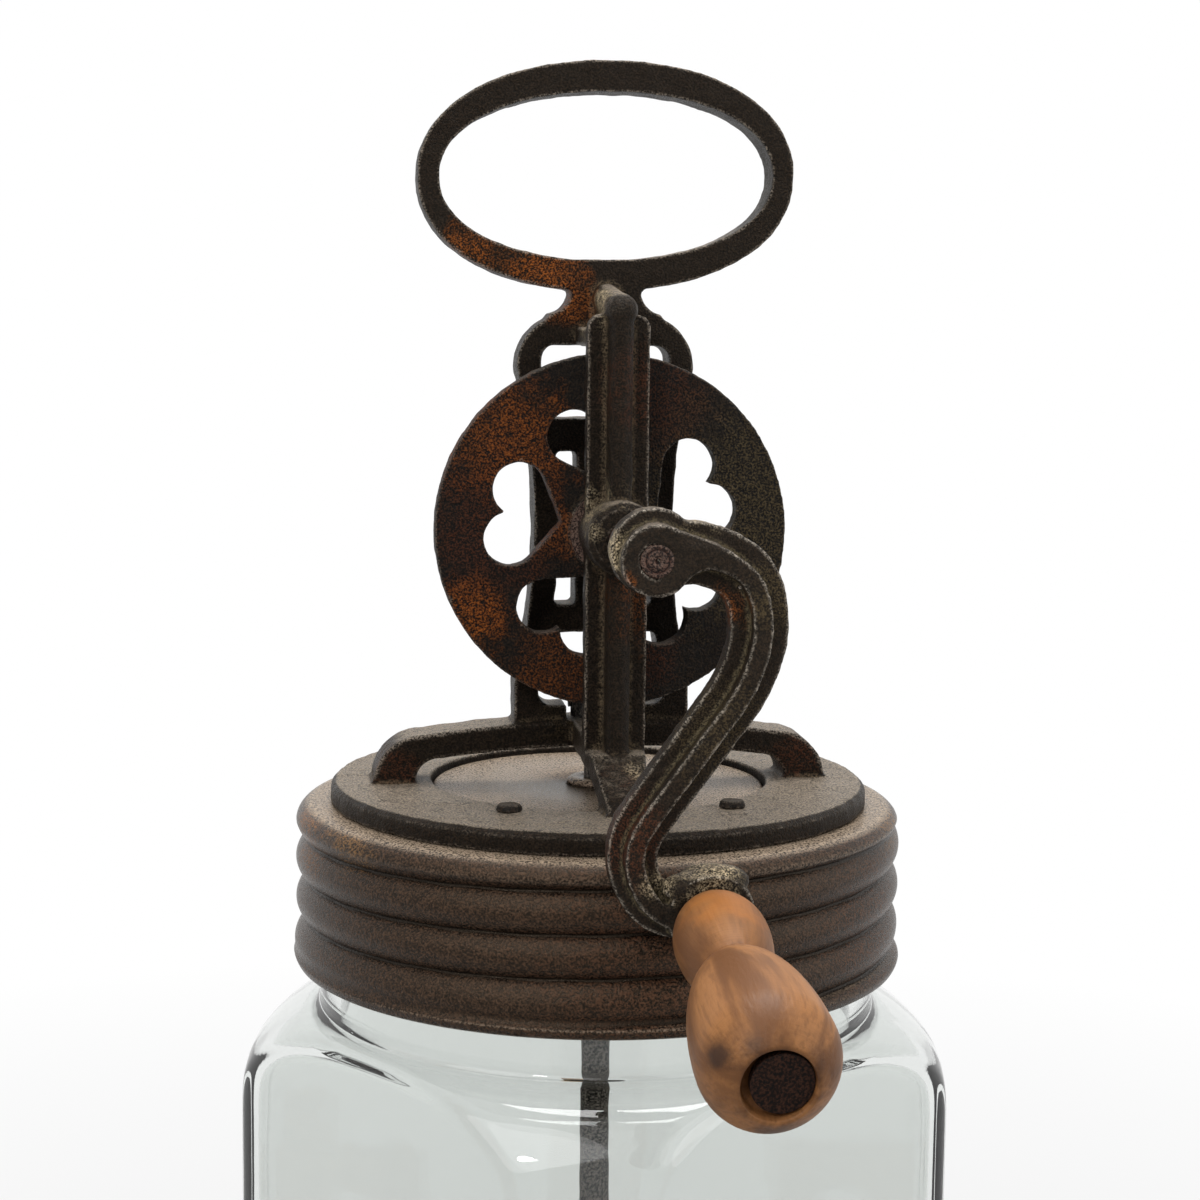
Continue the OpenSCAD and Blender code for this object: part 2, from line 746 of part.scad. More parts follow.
function arm_normal(line, i) =
    let (d = line[min(i + 1, len(line) - 1)] - line[max(i - 1, 0)]) [-d[1], d[0]] / norm(d);
module arm_strip(w, end_w) {
    line = arm_line();
    last = len(line) - 1;
    half = [for (i = [0:last]) (w + (end_w - w) * i / last) / 2];
    polygon(concat(
        [for (i = [0:last]) line[i] + arm_normal(line, i) * half[i]],
        [for (i = [last:-1:0]) line[i] - arm_normal(line, i) * half[i]]));
}

grip_rod_r = grip_rod_d / 2;
grip_eye_r = 9;
grip_eye_t = arm_t + 2.5;

// Frame of the grip: its base on the crank's end, its own axis leaning outward
module from_grip() {
    from_shaft() translate([crank_side, -crank_drop, crank_front]) rotate([grip_lean, 0, 0]) children();
}

module crank_arm() color(iron) {
    difference() {
        union() {
            from_shaft() rod(crank_hub_d / 2, crank_front - crank_hub_l, crank_front);
            from_shaft() translate([0, crank_web_up, 0]) rod(crank_web_r, arm_back, arm_back + arm_t);
            from_shaft() between(arm_back, arm_back + arm_t) arm_strip(arm_w, arm_end_w);
            from_shaft() between(arm_back, crank_front) arm_strip(arm_rib_w, arm_rib_w);
            from_grip() rod(grip_eye_r, -grip_eye_t, 0);
        }
        from_shaft() rod(shaft_r + pin_clear, crank_front - crank_hub_l - cut, crank_front + cut);
        from_grip() rod(grip_rod_r + pin_clear, -grip_eye_t - 4 * cut, cut);
        from_grip() rod(grip_d, 0, grip_d);
    }
}

// Wooden grip, its rod and the rod's riveted end

grip_recess_r = 6.2;
grip_recess = 4.5;
grip_seat = grip_l - grip_recess;
grip_bead_r = 9.6;
grip_bead_at = 12;
grip_bead_l = 21;
grip_widest = grip_l - 12.5;
grip_egg_foot = 22;
grip_egg_l = grip_widest - grip_egg_foot;
grip_end_l = 13;

// Radius of the grip at a distance from its base: a round bead, then an egg that ends as a ball
function round_part(r, off, l) = r * sqrt(max(0, 1 - off * off / (l * l)));
function grip_profile(s) = max(
    round_part(grip_bead_r, s - grip_bead_at, grip_bead_l),
    round_part(grip_d / 2, s - grip_widest, s < grip_widest ? grip_egg_l : grip_end_l));

module wooden_grip() color(oak) {
    steps = 36;
    from_grip() difference() {
        rotate_extrude() polygon(concat(
            [[0, face_gap]],
            [for (i = [0:steps]) let (s = face_gap + (grip_l - face_gap) * i / steps) [grip_profile(s), s]],
            [[0, grip_l]]));
        rod(grip_rod_r + run_clear, -cut, grip_l + cut);
        rod(grip_recess_r, grip_seat, grip_l + cut);
    }
}

module grip_rod() color(steel) {
    head_t = 1.6;
    head_foot = grip_seat + face_gap;
    from_grip() {
        rod(grip_rod_r, -grip_eye_t, head_foot + overlap);
        rod(grip_recess_r - 0.4, head_foot, head_foot + head_t);
    }
}

// Spindle and pinion

pinion_foot = deck_z + bridge_h + face_gap;
pinion_out = shaft_z - wheel_pitch_r * cone_outer;
pinion_in = shaft_z - wheel_pitch_r * cone_inner;
pinion_pin_z = (pinion_foot + pinion_out) / 2;
board_foot = jar_floor + board_lift;
board_top = board_foot + board_h;
nut_t = 4.5;
nut_r = 7;
socket_h = 17;
socket_r = 9;
dasher_pin_z = board_top + socket_h / 2;

module spindle() color(steel) {
    foot = board_foot - nut_t - 1;
    head = deck_z + low_bar[1] - 0.5;
    difference() {
        rod(spindle_r, foot, head);
        across(pinion_pin_z, pin_hole_d, 2 * spindle_d);
        across(dasher_pin_z, pin_hole_d, 2 * spindle_d);
    }
}

module pinion() color(iron) {
    root = pinion_pitch_r - tooth_root;
    difference() {
        union() {
            rod(pinion_hub_r, pinion_foot, pinion_out + overlap);
            translate([0, 0, pinion_out])
                cylinder(r1 = root * cone_outer, r2 = root * cone_inner, h = pinion_in - pinion_out);
            for (i = [0:pinion_teeth - 1]) translate([0, 0, shaft_z]) rotate([0, 0, i * 360 / pinion_teeth])
                mirror([0, 0, 1]) tooth(-pinion_pitch_r, wheel_pitch_r, -1, 0);
        }
        rod(spindle_r + pin_clear, pinion_foot - cut, pinion_in + cut);
        across(pinion_pin_z, pin_hole_d, 3 * pinion_hub_r);
    }
}

module pinion_pin() color(steel) {
    across(pinion_pin_z, cross_pin_d, 2 * (pinion_hub_r + cross_pin_proud));
}

// Dasher

module dasher_socket() color(iron) {
    difference() {
        rod(socket_r, board_top, board_top + socket_h);
        rod(spindle_r + pin_clear, board_top - cut, board_top + socket_h + cut);
        across(dasher_pin_z, pin_hole_d, 3 * socket_r);
    }
}

module dasher_pin() color(steel) {
    across(dasher_pin_z, cross_pin_d, 2 * (socket_r + cross_pin_proud));
}

// One board with two holes, slotted to half its height so that it crosses the other
module dasher_board(slot_foot) {
    translate([0, 0, board_foot]) difference() {
        translate([-board_w / 2, -board_t / 2, 0]) cube([board_w, board_t, board_h]);
        for (x = [-1, 1]) for (level = [0.28, 0.72])
            translate([x * board_w * 0.29, 0, board_h * level]) rotate([90, 0, 0])
                cylinder(d = board_hole_d, h = 2 * board_t, center = true);
        translate([-board_t / 2 - pin_clear, -board_t, slot_foot])
            cube([board_t + 2 * pin_clear, 2 * board_t, board_h / 2 + cut]);
        rod(spindle_r + pin_clear, -cut, board_h + cut);
    }
}

module dasher_board_long() color(pale_wood) { dasher_board(board_h / 2); }
module dasher_board_cross() color(pale_wood) { rotate([0, 0, 90]) dasher_board(-cut); }

module dasher_nut() color(steel) {
    difference() {
        translate([0, 0, board_foot - nut_t]) cylinder(r = nut_r, h = nut_t, $fn = 4);
        rod(spindle_r + pin_clear, board_foot - nut_t - cut, board_foot + cut);
    }
}

glass_jar();
lid_seal();
screw_cap();
cap_rivets();
spindle_bush();
base_ring();
bridge_legs();
rear_frame();
front_post();
carry_loop();
crank_shaft();
drive_wheel();
wheel_pin();
thrust_washer();
rear_collar();
rear_collar_pin();
crank_arm();
grip_rod();
wooden_grip();
spindle();
pinion();
pinion_pin();
dasher_socket();
dasher_pin();
dasher_board_long();
dasher_board_cross();
dasher_nut();
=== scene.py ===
import math

import bmesh
import bpy
import numpy as np
from mathutils import Matrix, Vector


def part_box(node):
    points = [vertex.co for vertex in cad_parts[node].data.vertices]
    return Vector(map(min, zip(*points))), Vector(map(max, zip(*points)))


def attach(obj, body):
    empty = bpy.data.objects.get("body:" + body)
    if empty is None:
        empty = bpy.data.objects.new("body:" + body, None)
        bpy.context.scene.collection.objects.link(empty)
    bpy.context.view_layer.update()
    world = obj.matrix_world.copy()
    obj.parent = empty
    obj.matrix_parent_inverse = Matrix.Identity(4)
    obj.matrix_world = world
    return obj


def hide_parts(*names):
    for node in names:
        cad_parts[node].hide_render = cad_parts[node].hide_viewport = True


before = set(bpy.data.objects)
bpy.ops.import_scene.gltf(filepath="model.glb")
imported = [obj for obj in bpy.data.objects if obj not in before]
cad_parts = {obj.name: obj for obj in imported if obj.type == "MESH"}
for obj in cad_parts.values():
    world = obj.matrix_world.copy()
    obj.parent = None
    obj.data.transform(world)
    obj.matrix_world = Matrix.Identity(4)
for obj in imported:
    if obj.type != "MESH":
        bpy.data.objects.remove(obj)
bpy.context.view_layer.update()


# The jar: a square glass jar with cut corners, a round shoulder and a threaded neck.
# It is pressed and blown in an iron mould, so its edges are soft and its faces a little wavy.
# It stands on the table by its own flat foot and carries everything else.
MM = 0.001
jar_half = 69 * MM
corner_cut = 22 * MM
jar_cut_face = (2 * jar_half - corner_cut) / math.sqrt(2)
jar_turn = math.radians(36)
jar_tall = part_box("glass_jar")[1][2]
jar_wall = 5 * MM
jar_floor = 7 * MM
foot_round = 5 * MM
shoulder_foot = 132 * MM
shoulder_round = 26 * MM
shoulder_reach = jar_cut_face + 2.2 * MM
neck_foot = shoulder_foot + shoulder_round
neck_reach = 64.6 * MM
lip_round = 1.4 * MM
corner_crispness = 90
shoulder_crispness = 80
neck_crispness = 70
clear_of_neck = 0.9
thread_rise = 9.4 * MM
thread_turns = 1.5
thread_foot = 177.6 * MM
thread_proud = 2.0 * MM
thread_half = 3.4 * MM
thread_taper = 1 / 9
ring_step = 0.9 * MM
around = np.linspace(0, 2 * math.pi, 360, endpoint=False)


def soft_least(a, b, crispness):
    """The lesser of two lengths, rounded over where they meet."""
    return (a ** -crispness + b ** -crispness) ** (-1 / crispness)


def soft_most(a, b, crispness):
    """The greater of two lengths, rounded over where they meet."""
    return (a ** crispness + b ** crispness) ** (1 / crispness)


def jar_reach(height, inset):
    """Distance of the glass from the jar's middle line, all round, at one height."""
    pull = np.zeros_like(around)
    for side in range(8):
        face = (jar_half if side % 2 == 0 else jar_cut_face) - inset
        lean = np.cos(around - jar_turn - side * math.pi / 4)
        pull += (np.clip(lean, 1e-6, None) / face) ** corner_crispness
    plan = pull ** (-1 / corner_crispness)
    low = height - (jar_floor if inset else 0)
    if low < foot_round:
        plan = plan - (foot_round - math.sqrt(foot_round ** 2 - (foot_round - low) ** 2))
    roll = shoulder_round - inset
    up = min(max(height - shoulder_foot, 0), roll)
    round_reach = shoulder_reach - inset - roll + math.sqrt(max(roll ** 2 - up ** 2, 0))
    body = soft_least(plan, round_reach, shoulder_crispness)
    if height < shoulder_foot:
        return body
    if up >= roll:
        body = body * clear_of_neck
    return soft_most(body, neck_reach - inset, neck_crispness)


def thread_swell(height):
    """How far the bead of the screw thread stands out of the neck, all round, at one height."""
    swell = np.zeros_like(around)
    for turn in range(math.ceil(thread_turns)):
        along = around / (2 * math.pi) + turn
        off = np.abs(height - thread_foot - thread_rise * along) / thread_half
        ends = np.clip(np.minimum(along, thread_turns - along) / thread_taper, 0, 1)
        swell = np.maximum(swell, np.clip(1 - off ** 2, 0, 1) * ends)
    return swell * thread_proud


def ring(reach, height, turn=around):
    """One closed ring of points round the upright middle line."""
    return np.stack([reach * np.cos(turn), reach * np.sin(turn), np.full_like(turn, height)], axis=1)


def stand(name, data):
    """Adds an object to the scene."""
    made = bpy.data.objects.new(name, data)
    bpy.context.scene.collection.objects.link(made)
    return made


def skin(name, rings, first=None, last=None, closed=False):
    """A smooth mesh over rings of points, its ends closed with a middle point or joined to each other."""
    count = len(rings[0])
    points = np.concatenate(rings).tolist()
    faces = []
    pairs = [(i, i + 1) for i in range(len(rings) - 1)]
    if closed:
        pairs.append((len(rings) - 1, 0))
    for a, b in pairs:
        for k in range(count):
            n = (k + 1) % count
            faces.append((a * count + k, a * count + n, b * count + n, b * count + k))
    for middle, at, flipped in ((first, 0, True), (last, len(rings) - 1, False)):
        if middle is None:
            continue
        points.append(tuple(middle))
        for k in range(count):
            a, b = at * count + k, at * count + (k + 1) % count
            faces.append((b, a, len(points) - 1) if flipped else (a, b, len(points) - 1))
    mesh = bpy.data.meshes.new(name)
    mesh.from_pydata(points, [], faces)
    mesh.validate()
    mesh.polygons.foreach_set("use_smooth", [True] * len(mesh.polygons))
    return stand(name, mesh)


def outward(piece):
    """Turns every face of a closed mesh to look outward."""
    work = bmesh.new()
    work.from_mesh(piece.data)
    bmesh.ops.recalc_face_normals(work, faces=work.faces)
    work.to_mesh(piece.data)
    work.free()


floor_shares = (0.35, 0.7, 0.94)
jar_rings = [ring(jar_reach(0, 0) * share, 0) for share in floor_shares]
outer_heights = np.concatenate([
    np.linspace(0, foot_round, 7),
    np.linspace(14 * MM, shoulder_foot - 2 * MM, 9),
    np.arange(shoulder_foot, neck_foot + 4 * MM, ring_step),
])
for height in outer_heights:
    jar_rings.append(ring(jar_reach(height, 0), height))
for height in np.arange(neck_foot + 5 * MM, jar_tall - 1.5 * MM, ring_step):
    jar_rings.append(ring(jar_reach(height, 0) + thread_swell(height), height))
lip_tilts = np.radians((0, 30, 60, 90))
for inset, way, tilts in ((0, 1, lip_tilts), (jar_wall, -1, lip_tilts[::-1])):
    for tilt in tilts:
        reach = jar_reach(jar_tall, inset) - way * lip_round * (1 - math.cos(tilt))
        jar_rings.append(ring(reach, jar_tall - lip_round * (1 - math.sin(tilt))))
inner_heights = np.concatenate([
    np.linspace(jar_floor, jar_floor + foot_round, 7),
    np.linspace(20 * MM, shoulder_foot - 2 * MM, 9),
    np.arange(shoulder_foot, neck_foot + 4 * MM, ring_step),
    np.linspace(neck_foot + 6 * MM, jar_tall - 3 * MM, 6),
])
for height in inner_heights[::-1]:
    jar_rings.append(ring(jar_reach(height, jar_wall), height))
jar_rings += [ring(jar_reach(jar_floor, jar_wall) * share, jar_floor) for share in floor_shares[::-1]]
jar = skin("glass_jar_pressed", jar_rings, first=(0, 0, 0), last=(0, 0, jar_floor))
outward(jar)


def new_finish(name, plain):
    """A material with its Principled shader, whose plain values go straight on its own sockets."""
    made = bpy.data.materials.new(name)
    made.use_nodes = True
    shader = made.node_tree.nodes["Principled BSDF"]
    for socket, value in plain.items():
        shader.inputs[socket].default_value = value
    return made, made.node_tree, shader


def put(tree, kind, inputs, **settings):
    """Adds one shader node; an input is a plain value or the output that feeds it."""
    made = tree.nodes.new("ShaderNode" + kind)
    for key, value in settings.items():
        setattr(made, key, value)
    for key, value in inputs.items():
        if isinstance(value, bpy.types.NodeSocket):
            tree.links.new(value, made.inputs[key])
        else:
            made.inputs[key].default_value = value
    return made


def place_on_piece(tree):
    """The place on the piece, in metres, that a pattern is laid out by."""
    return put(tree, "TexCoord", {}).outputs["Object"]


def clouds(tree, place, scale, detail, roughness=0.5, distortion=0.0):
    """A cloudy pattern of values from 0 to 1."""
    look = {"Scale": scale, "Detail": detail, "Roughness": roughness, "Distortion": distortion}
    return put(tree, "TexNoise", {"Vector": place, **look}).outputs["Fac"]


def raise_skin(tree, shader, height, strength, distance):
    """Lets a pattern stand out of the surface as fine relief."""
    relief = put(tree, "Bump", {"Height": height, "Strength": strength, "Distance": distance})
    tree.links.new(relief.outputs["Normal"], shader.inputs["Normal"])


def dress(piece, finish):
    """Gives a piece one finish all over."""
    piece.data.materials.clear()
    piece.data.materials.append(finish)


# The glass colour is grey partly for its own pale tint and partly as painted shade: it darkens what is seen
# through the jar, as a dim room would.
glass, tree, shader = new_finish("pale_pressed_glass", {
    "Base Color": (0.79, 0.812, 0.796, 1), "Roughness": 0.0, "IOR": 1.45, "Transmission Weight": 1.0,
})
waves = clouds(tree, place_on_piece(tree), scale=42.0, detail=2.0, roughness=0.4)
raise_skin(tree, shader, waves, strength=0.25, distance=1.2 * MM)
dress(jar, glass)
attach(jar, "jar")
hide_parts("glass_jar")


# The seal: a flat ring of brown rubber, cut from sheet, that lies on the jar's lip under the cap.
# It is soft and dull, cracked fine all over with age.
def tint(red, green, blue):
    """A colour written as on a paint chart, from 0 to 255, as the shader wants it."""
    parts = [c / 255 for c in (red, green, blue)]
    return [c / 12.92 if c < 0.04045 else ((c + 0.055) / 1.055) ** 2.4 for c in parts] + [1]


def over(tree, mask, under, top):
    """One colour laid over another through a mask."""
    return put(tree, "Mix", {0: mask, 6: under, 7: top}, data_type="RGBA").outputs[2]


rubber, tree, shader = new_finish("perished_rubber", {"Roughness": 0.85, "Specular IOR Level": 0.2})
place = place_on_piece(tree)
colours = over(tree, clouds(tree, place, scale=260.0, detail=6.0), tint(74, 44, 34), tint(112, 74, 58))
tree.links.new(colours, shader.inputs["Base Color"])
cracks = put(tree, "TexVoronoi", {"Vector": place, "Scale": 700.0}, feature="DISTANCE_TO_EDGE")
raise_skin(tree, shader, cracks.outputs["Distance"], strength=0.3, distance=0.4 * MM)
dress(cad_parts["lid_seal"], rubber)


# The screw cap: thin tinned sheet, spun over a former, with the screw thread rolled into its skirt.
# The tin is long gone: what is left is dark brown iron with a dull sheen, its grooves near black with
# painted shade.
cap_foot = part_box("screw_cap")[0][2]
cap_top = cap_foot + 36.8 * MM
cap_reach = 70 * MM
cap_sheet = 1.2 * MM
rib_deep = 2.9 * MM
rib_start = cap_foot + 2.2 * MM
rib_start_fade = 2 * MM
rib_stop = cap_top - 2.4 * MM
rib_stop_fade = 2.5 * MM
groove_narrow = 0.6
groove_after_bead = 0.5
top_roll = 4.4 * MM
rim_flare = 0.9 * MM
rim_flare_tall = 9 * MM
rim_curl = 1.4 * MM
rim_curl_tall = 3 * MM
skirt_foot = cap_foot + 0.4 * MM
skirt_step = 0.36 * MM
dome_reach = 38.6 * MM
dome_up = 3.5 * MM
dome_round = 1.0 * MM
dome_under = 0.6 * MM
dome_flat = 24 * MM
bush_hole = 6.3 * MM


def held(share):
    """A share kept between 0 and 1."""
    return min(1, max(0, share))


def rib_reach(height):
    """Distance of the rolled skirt from the middle line: round ribs and a groove that winds upward."""
    turns = (height - thread_foot) / thread_rise - around / (2 * math.pi) - groove_after_bead
    groove = 1 - np.abs(np.sin(math.pi * turns)) ** groove_narrow
    groove = groove * held((height - rib_start) / rib_start_fade)
    groove = groove * held((rib_stop - height) / rib_stop_fade)
    return cap_reach - rib_deep * groove


def cap_wall(height):
    """The skirt as it is: ribs between the roll at the top edge and the turned-in lip at the foot."""
    reach = rib_reach(height)
    above = height - (cap_top - top_roll)
    if above > 0:
        reach = reach - top_roll + math.sqrt(max(top_roll ** 2 - above ** 2, 0))
    reach = reach + rim_flare * held(1 - (height - cap_foot) / rim_flare_tall)
    below = cap_foot + rim_curl_tall - height
    if below > 0:
        reach = reach - rim_curl * (below / rim_curl_tall) ** 2
    return reach


skirt = list(np.arange(skirt_foot, cap_top - top_roll, skirt_step))
skirt += [cap_top - top_roll + top_roll * math.sin(tilt) for tilt in np.radians(np.linspace(2, 88, 12))]
outer = [(height, cap_wall(height)) for height in skirt]
edge = cap_reach - top_roll
crown = [(edge - 1 * MM, 0), (edge - 6 * MM, 0), (dome_reach + 2 * MM, 0), (dome_reach, 0)]
crown += [
    (dome_reach - dome_round * (1 - math.cos(tilt)), dome_up - dome_round * (1 - math.sin(tilt)))
    for tilt in np.radians((0, 22, 45, 67, 90))
]
crown += [(dome_flat, dome_up), (bush_hole, dome_up)]
cap_rings = [ring(reach, height) for height, reach in outer]
cap_rings += [ring(reach, cap_top + up) for reach, up in crown]
for reach, up in crown[::-1]:
    under_reach = reach if reach == bush_hole else reach - dome_under
    cap_rings.append(ring(under_reach, cap_top + up - cap_sheet))
for height, reach in outer[::-1]:
    if height < cap_top - 2 * cap_sheet:
        cap_rings.append(ring(reach - cap_sheet, height))
for share in (0.75, 0.25):
    cap_rings.append(ring(cap_wall(cap_foot) - share * cap_sheet, cap_foot))
cap = skin("screw_cap_rolled", cap_rings, closed=True)
outward(cap)


def new_group(name, takes, gives):
    """An empty shader node group with named inputs and outputs."""
    tree = bpy.data.node_groups.new(name, "ShaderNodeTree")
    for label, kind, value in takes:
        socket = tree.interface.new_socket(label, in_out="INPUT", socket_type="NodeSocket" + kind)
        socket.default_value = value
    for label, kind in gives:
        tree.interface.new_socket(label, in_out="OUTPUT", socket_type="NodeSocket" + kind)
    return tree, tree.nodes.new("NodeGroupInput").outputs, tree.nodes.new("NodeGroupOutput").inputs


def climb(tree, value, low, high):
    """A mask that climbs softly from 0 to 1 as a value goes from low to high."""
    ends = {"Value": value, "From Min": low, "From Max": high}
    return put(tree, "MapRange", ends, interpolation_type="SMOOTHSTEP").outputs["Result"]


def sums(tree, operation, a, b, bounded=True):
    """One sum on two values, kept between 0 and 1 unless it is let go."""
    return put(tree, "Math", {0: a, 1: b}, operation=operation, use_clamp=bounded).outputs[0]


# Pits: the sandy or corroded skin of old iron, coarse and fine together, as a mask and as a height
pits, takes, gives = new_group(
    "iron_pits", [("Grain", "Float", 900.0)], [("Fine", "Float"), ("Height", "Float")])
place = place_on_piece(pits)
fine = clouds(pits, place, scale=takes["Grain"], detail=3.0, roughness=0.62)
coarse_grain = sums(pits, "MULTIPLY", takes["Grain"], 0.36, bounded=False)
coarse = clouds(pits, place, scale=coarse_grain, detail=5.0, roughness=0.62)
both = put(pits, "Mix", {0: 0.4, 2: fine, 3: coarse}, data_type="FLOAT").outputs[0]
pits.links.new(fine, gives["Fine"])
pits.links.new(both, gives["Height"])

# Faces that look up take the dust colour, which on the head's ring top is partly painted sheen; hollows
# take the grime colour: pale dust on the head and crank, painted shade in the tin's grooves, a darker tone
# elsewhere; both broken up by the pits
dust_and_painted_light, takes, gives = new_group(
    "dust_grime_and_painted_light",
    [("On Top", "Float", 0.5), ("In Hollows", "Float", 0.5), ("Pits", "Float", 0.5)],
    [("Tops", "Float"), ("Hollows", "Float")])
upright = put(dust_and_painted_light, "SeparateXYZ", {"Vector": put(dust_and_painted_light, "TexCoord", {}).outputs["Normal"]}).outputs["Z"]
point = put(dust_and_painted_light, "NewGeometry", {}).outputs["Pointiness"]
broken = climb(dust_and_painted_light, takes["Pits"], 0.34, 0.52)
looks_up = climb(dust_and_painted_light, upright, 0.78, 0.99)
lies_low = climb(dust_and_painted_light, point, 0.496, 0.465)
for label, mask, amount in (("Tops", looks_up, "On Top"), ("Hollows", lies_low, "In Hollows")):
    mask = sums(dust_and_painted_light, "MULTIPLY", mask, broken)
    dust_and_painted_light.links.new(sums(dust_and_painted_light, "MULTIPLY", mask, takes[amount]), gives[label])

# Wear and painted highlight: a pale colour on sharp edges, partly rubbed bright by hands and use and partly
# painted highlight
wear_and_highlight, takes, gives = new_group(
    "rubbed_and_highlit_edges", [("Amount", "Float", 0.5), ("Pits", "Float", 0.5)], [("Mask", "Float")])
point = put(wear_and_highlight, "NewGeometry", {}).outputs["Pointiness"]
rubbed_and_highlight = sums(wear_and_highlight, "MULTIPLY", climb(wear_and_highlight, point, 0.514, 0.56), takes["Amount"])
wear_and_highlight.links.new(sums(wear_and_highlight, "MULTIPLY", rubbed_and_highlight, climb(wear_and_highlight, takes["Pits"], 0.36, 0.58)), gives["Mask"])

# Bloom: one patch of colour round a place on the piece, with a ragged edge: rust, stain, dust and dirt, and
# some painted highlight and painted shade
bloom, takes, gives = new_group(
    "patch_bloom",
    [("Middle", "Vector", (0, 0, 0)), ("Reach", "Float", 0.02), ("Strength", "Float", 1.0)],
    [("Mask", "Float")])
place = place_on_piece(bloom)
away = put(bloom, "VectorMath", {0: place, 1: takes["Middle"]}, operation="DISTANCE").outputs["Value"]
away = sums(bloom, "DIVIDE", away, takes["Reach"], bounded=False)
ragged = clouds(bloom, place, scale=210.0, detail=5.0, roughness=0.6)
ragged = sums(bloom, "MULTIPLY", ragged, 1.4, bounded=False)
edge_line = sums(bloom, "ADD", away, ragged, bounded=False)
inside = climb(bloom, edge_line, 1.6, 0.9)
bloom.links.new(sums(bloom, "MULTIPLY", inside, takes["Strength"]), gives["Mask"])


def patch_mask(tree, middle, reach, strength):
    """The mask of one patch: its middle and reach are in millimetres, in the churn's own frame."""
    where = {"Middle": [m * MM for m in middle], "Reach": reach * MM, "Strength": strength}
    return put(tree, "Group", where, node_tree=bloom).outputs["Mask"]


def old_iron(name, colours, plain, grain, on_top, in_hollows, rubbed_and_highlight, bump, roughness, patches=()):
    """Old iron or sheet: two browns, pits, dust on tops (partly painted sheen), grime in hollows (partly
    painted shade), rubbed edges (partly painted highlight), and patches of rust, dirt and painted
    highlight.

    bump is its strength and its height in millimetres, roughness the least and the most,
    and a patch is its middle, its reach, its strength and its colour.
    """
    made, tree, shader = new_finish(name, plain)
    skin_pits = put(tree, "Group", {"Grain": grain}, node_tree=pits).outputs
    colour = over(tree, climb(tree, skin_pits["Height"], 0.38, 0.6), colours["dark"], colours["brown"])
    rough = climb(tree, skin_pits["Fine"], 0.2, 0.8)
    for middle, reach, strength, hue in patches:
        mask = patch_mask(tree, middle, reach, strength)
        mask = sums(tree, "MULTIPLY", mask, climb(tree, skin_pits["Height"], 0.42, 0.6))
        colour = over(tree, mask, colour, hue)
        rough = sums(tree, "ADD", rough, sums(tree, "MULTIPLY", mask, 0.4))
    lying = {"On Top": on_top, "In Hollows": in_hollows, "Pits": skin_pits["Height"]}
    dirt_and_painted_light = put(tree, "Group", lying, node_tree=dust_and_painted_light).outputs
    colour = over(tree, dirt_and_painted_light["Tops"], colour, colours["dust_and_painted_light"])
    colour = over(tree, dirt_and_painted_light["Hollows"], colour, colours["grime_and_painted_shade"])
    bright = put(tree, "Group", {"Amount": rubbed_and_highlight, "Pits": skin_pits["Fine"]}, node_tree=wear_and_highlight).outputs
    colour = over(tree, bright["Mask"], colour, colours["rubbed_and_highlight"])
    in_pits = put(tree, "HueSaturation", {"Color": colour, "Value": 0.22}).outputs[0]
    on_grains = put(tree, "HueSaturation", {"Color": colour, "Value": 1.5}).outputs[0]
    colour = over(tree, climb(tree, skin_pits["Fine"], 0.36, 0.64), in_pits, on_grains)
    tree.links.new(colour, shader.inputs["Base Color"])
    ends = {"Value": rough, "To Min": roughness[0], "To Max": roughness[1]}
    tree.links.new(put(tree, "MapRange", ends).outputs["Result"], shader.inputs["Roughness"])
    raise_skin(tree, shader, skin_pits["Height"], strength=bump[0], distance=bump[1] * MM)
    return made


# The tin's grime colour is near black; laid in the grooves between the ribs, it is painted shade.
tin_colours = {
    "dark": tint(14, 9, 6), "brown": tint(60, 44, 33), "dust_and_painted_light": tint(138, 122, 104),
    "grime_and_painted_shade": tint(4, 3, 2), "rubbed_and_highlight": tint(136, 120, 104),
}
tin_rust = tint(126, 92, 52)
cap_rust = [
    ((-66, -14, 200), 16, 0.7, tint(118, 76, 36)), ((-60, -36, 206), 14, 0.6, tin_rust),
    ((62, -28, 206), 16, 0.5, tin_rust), ((0, -70, 180), 34, 0.35, tint(74, 42, 26)),
    ((56, -44, 184), 26, 0.35, tint(84, 50, 30)),
]
worn_tin = old_iron(
    "worn_tin", tin_colours, {"Specular IOR Level": 0.22, "Specular Tint": (1.0, 0.76, 0.56, 1)},
    grain=2100.0, on_top=0.9, in_hollows=1.0, rubbed_and_highlight=0.6, bump=(0.7, 0.45), roughness=(0.2, 0.4),
    patches=cap_rust)
dress(cap, worn_tin)
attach(cap, "lid")
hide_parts("screw_cap")


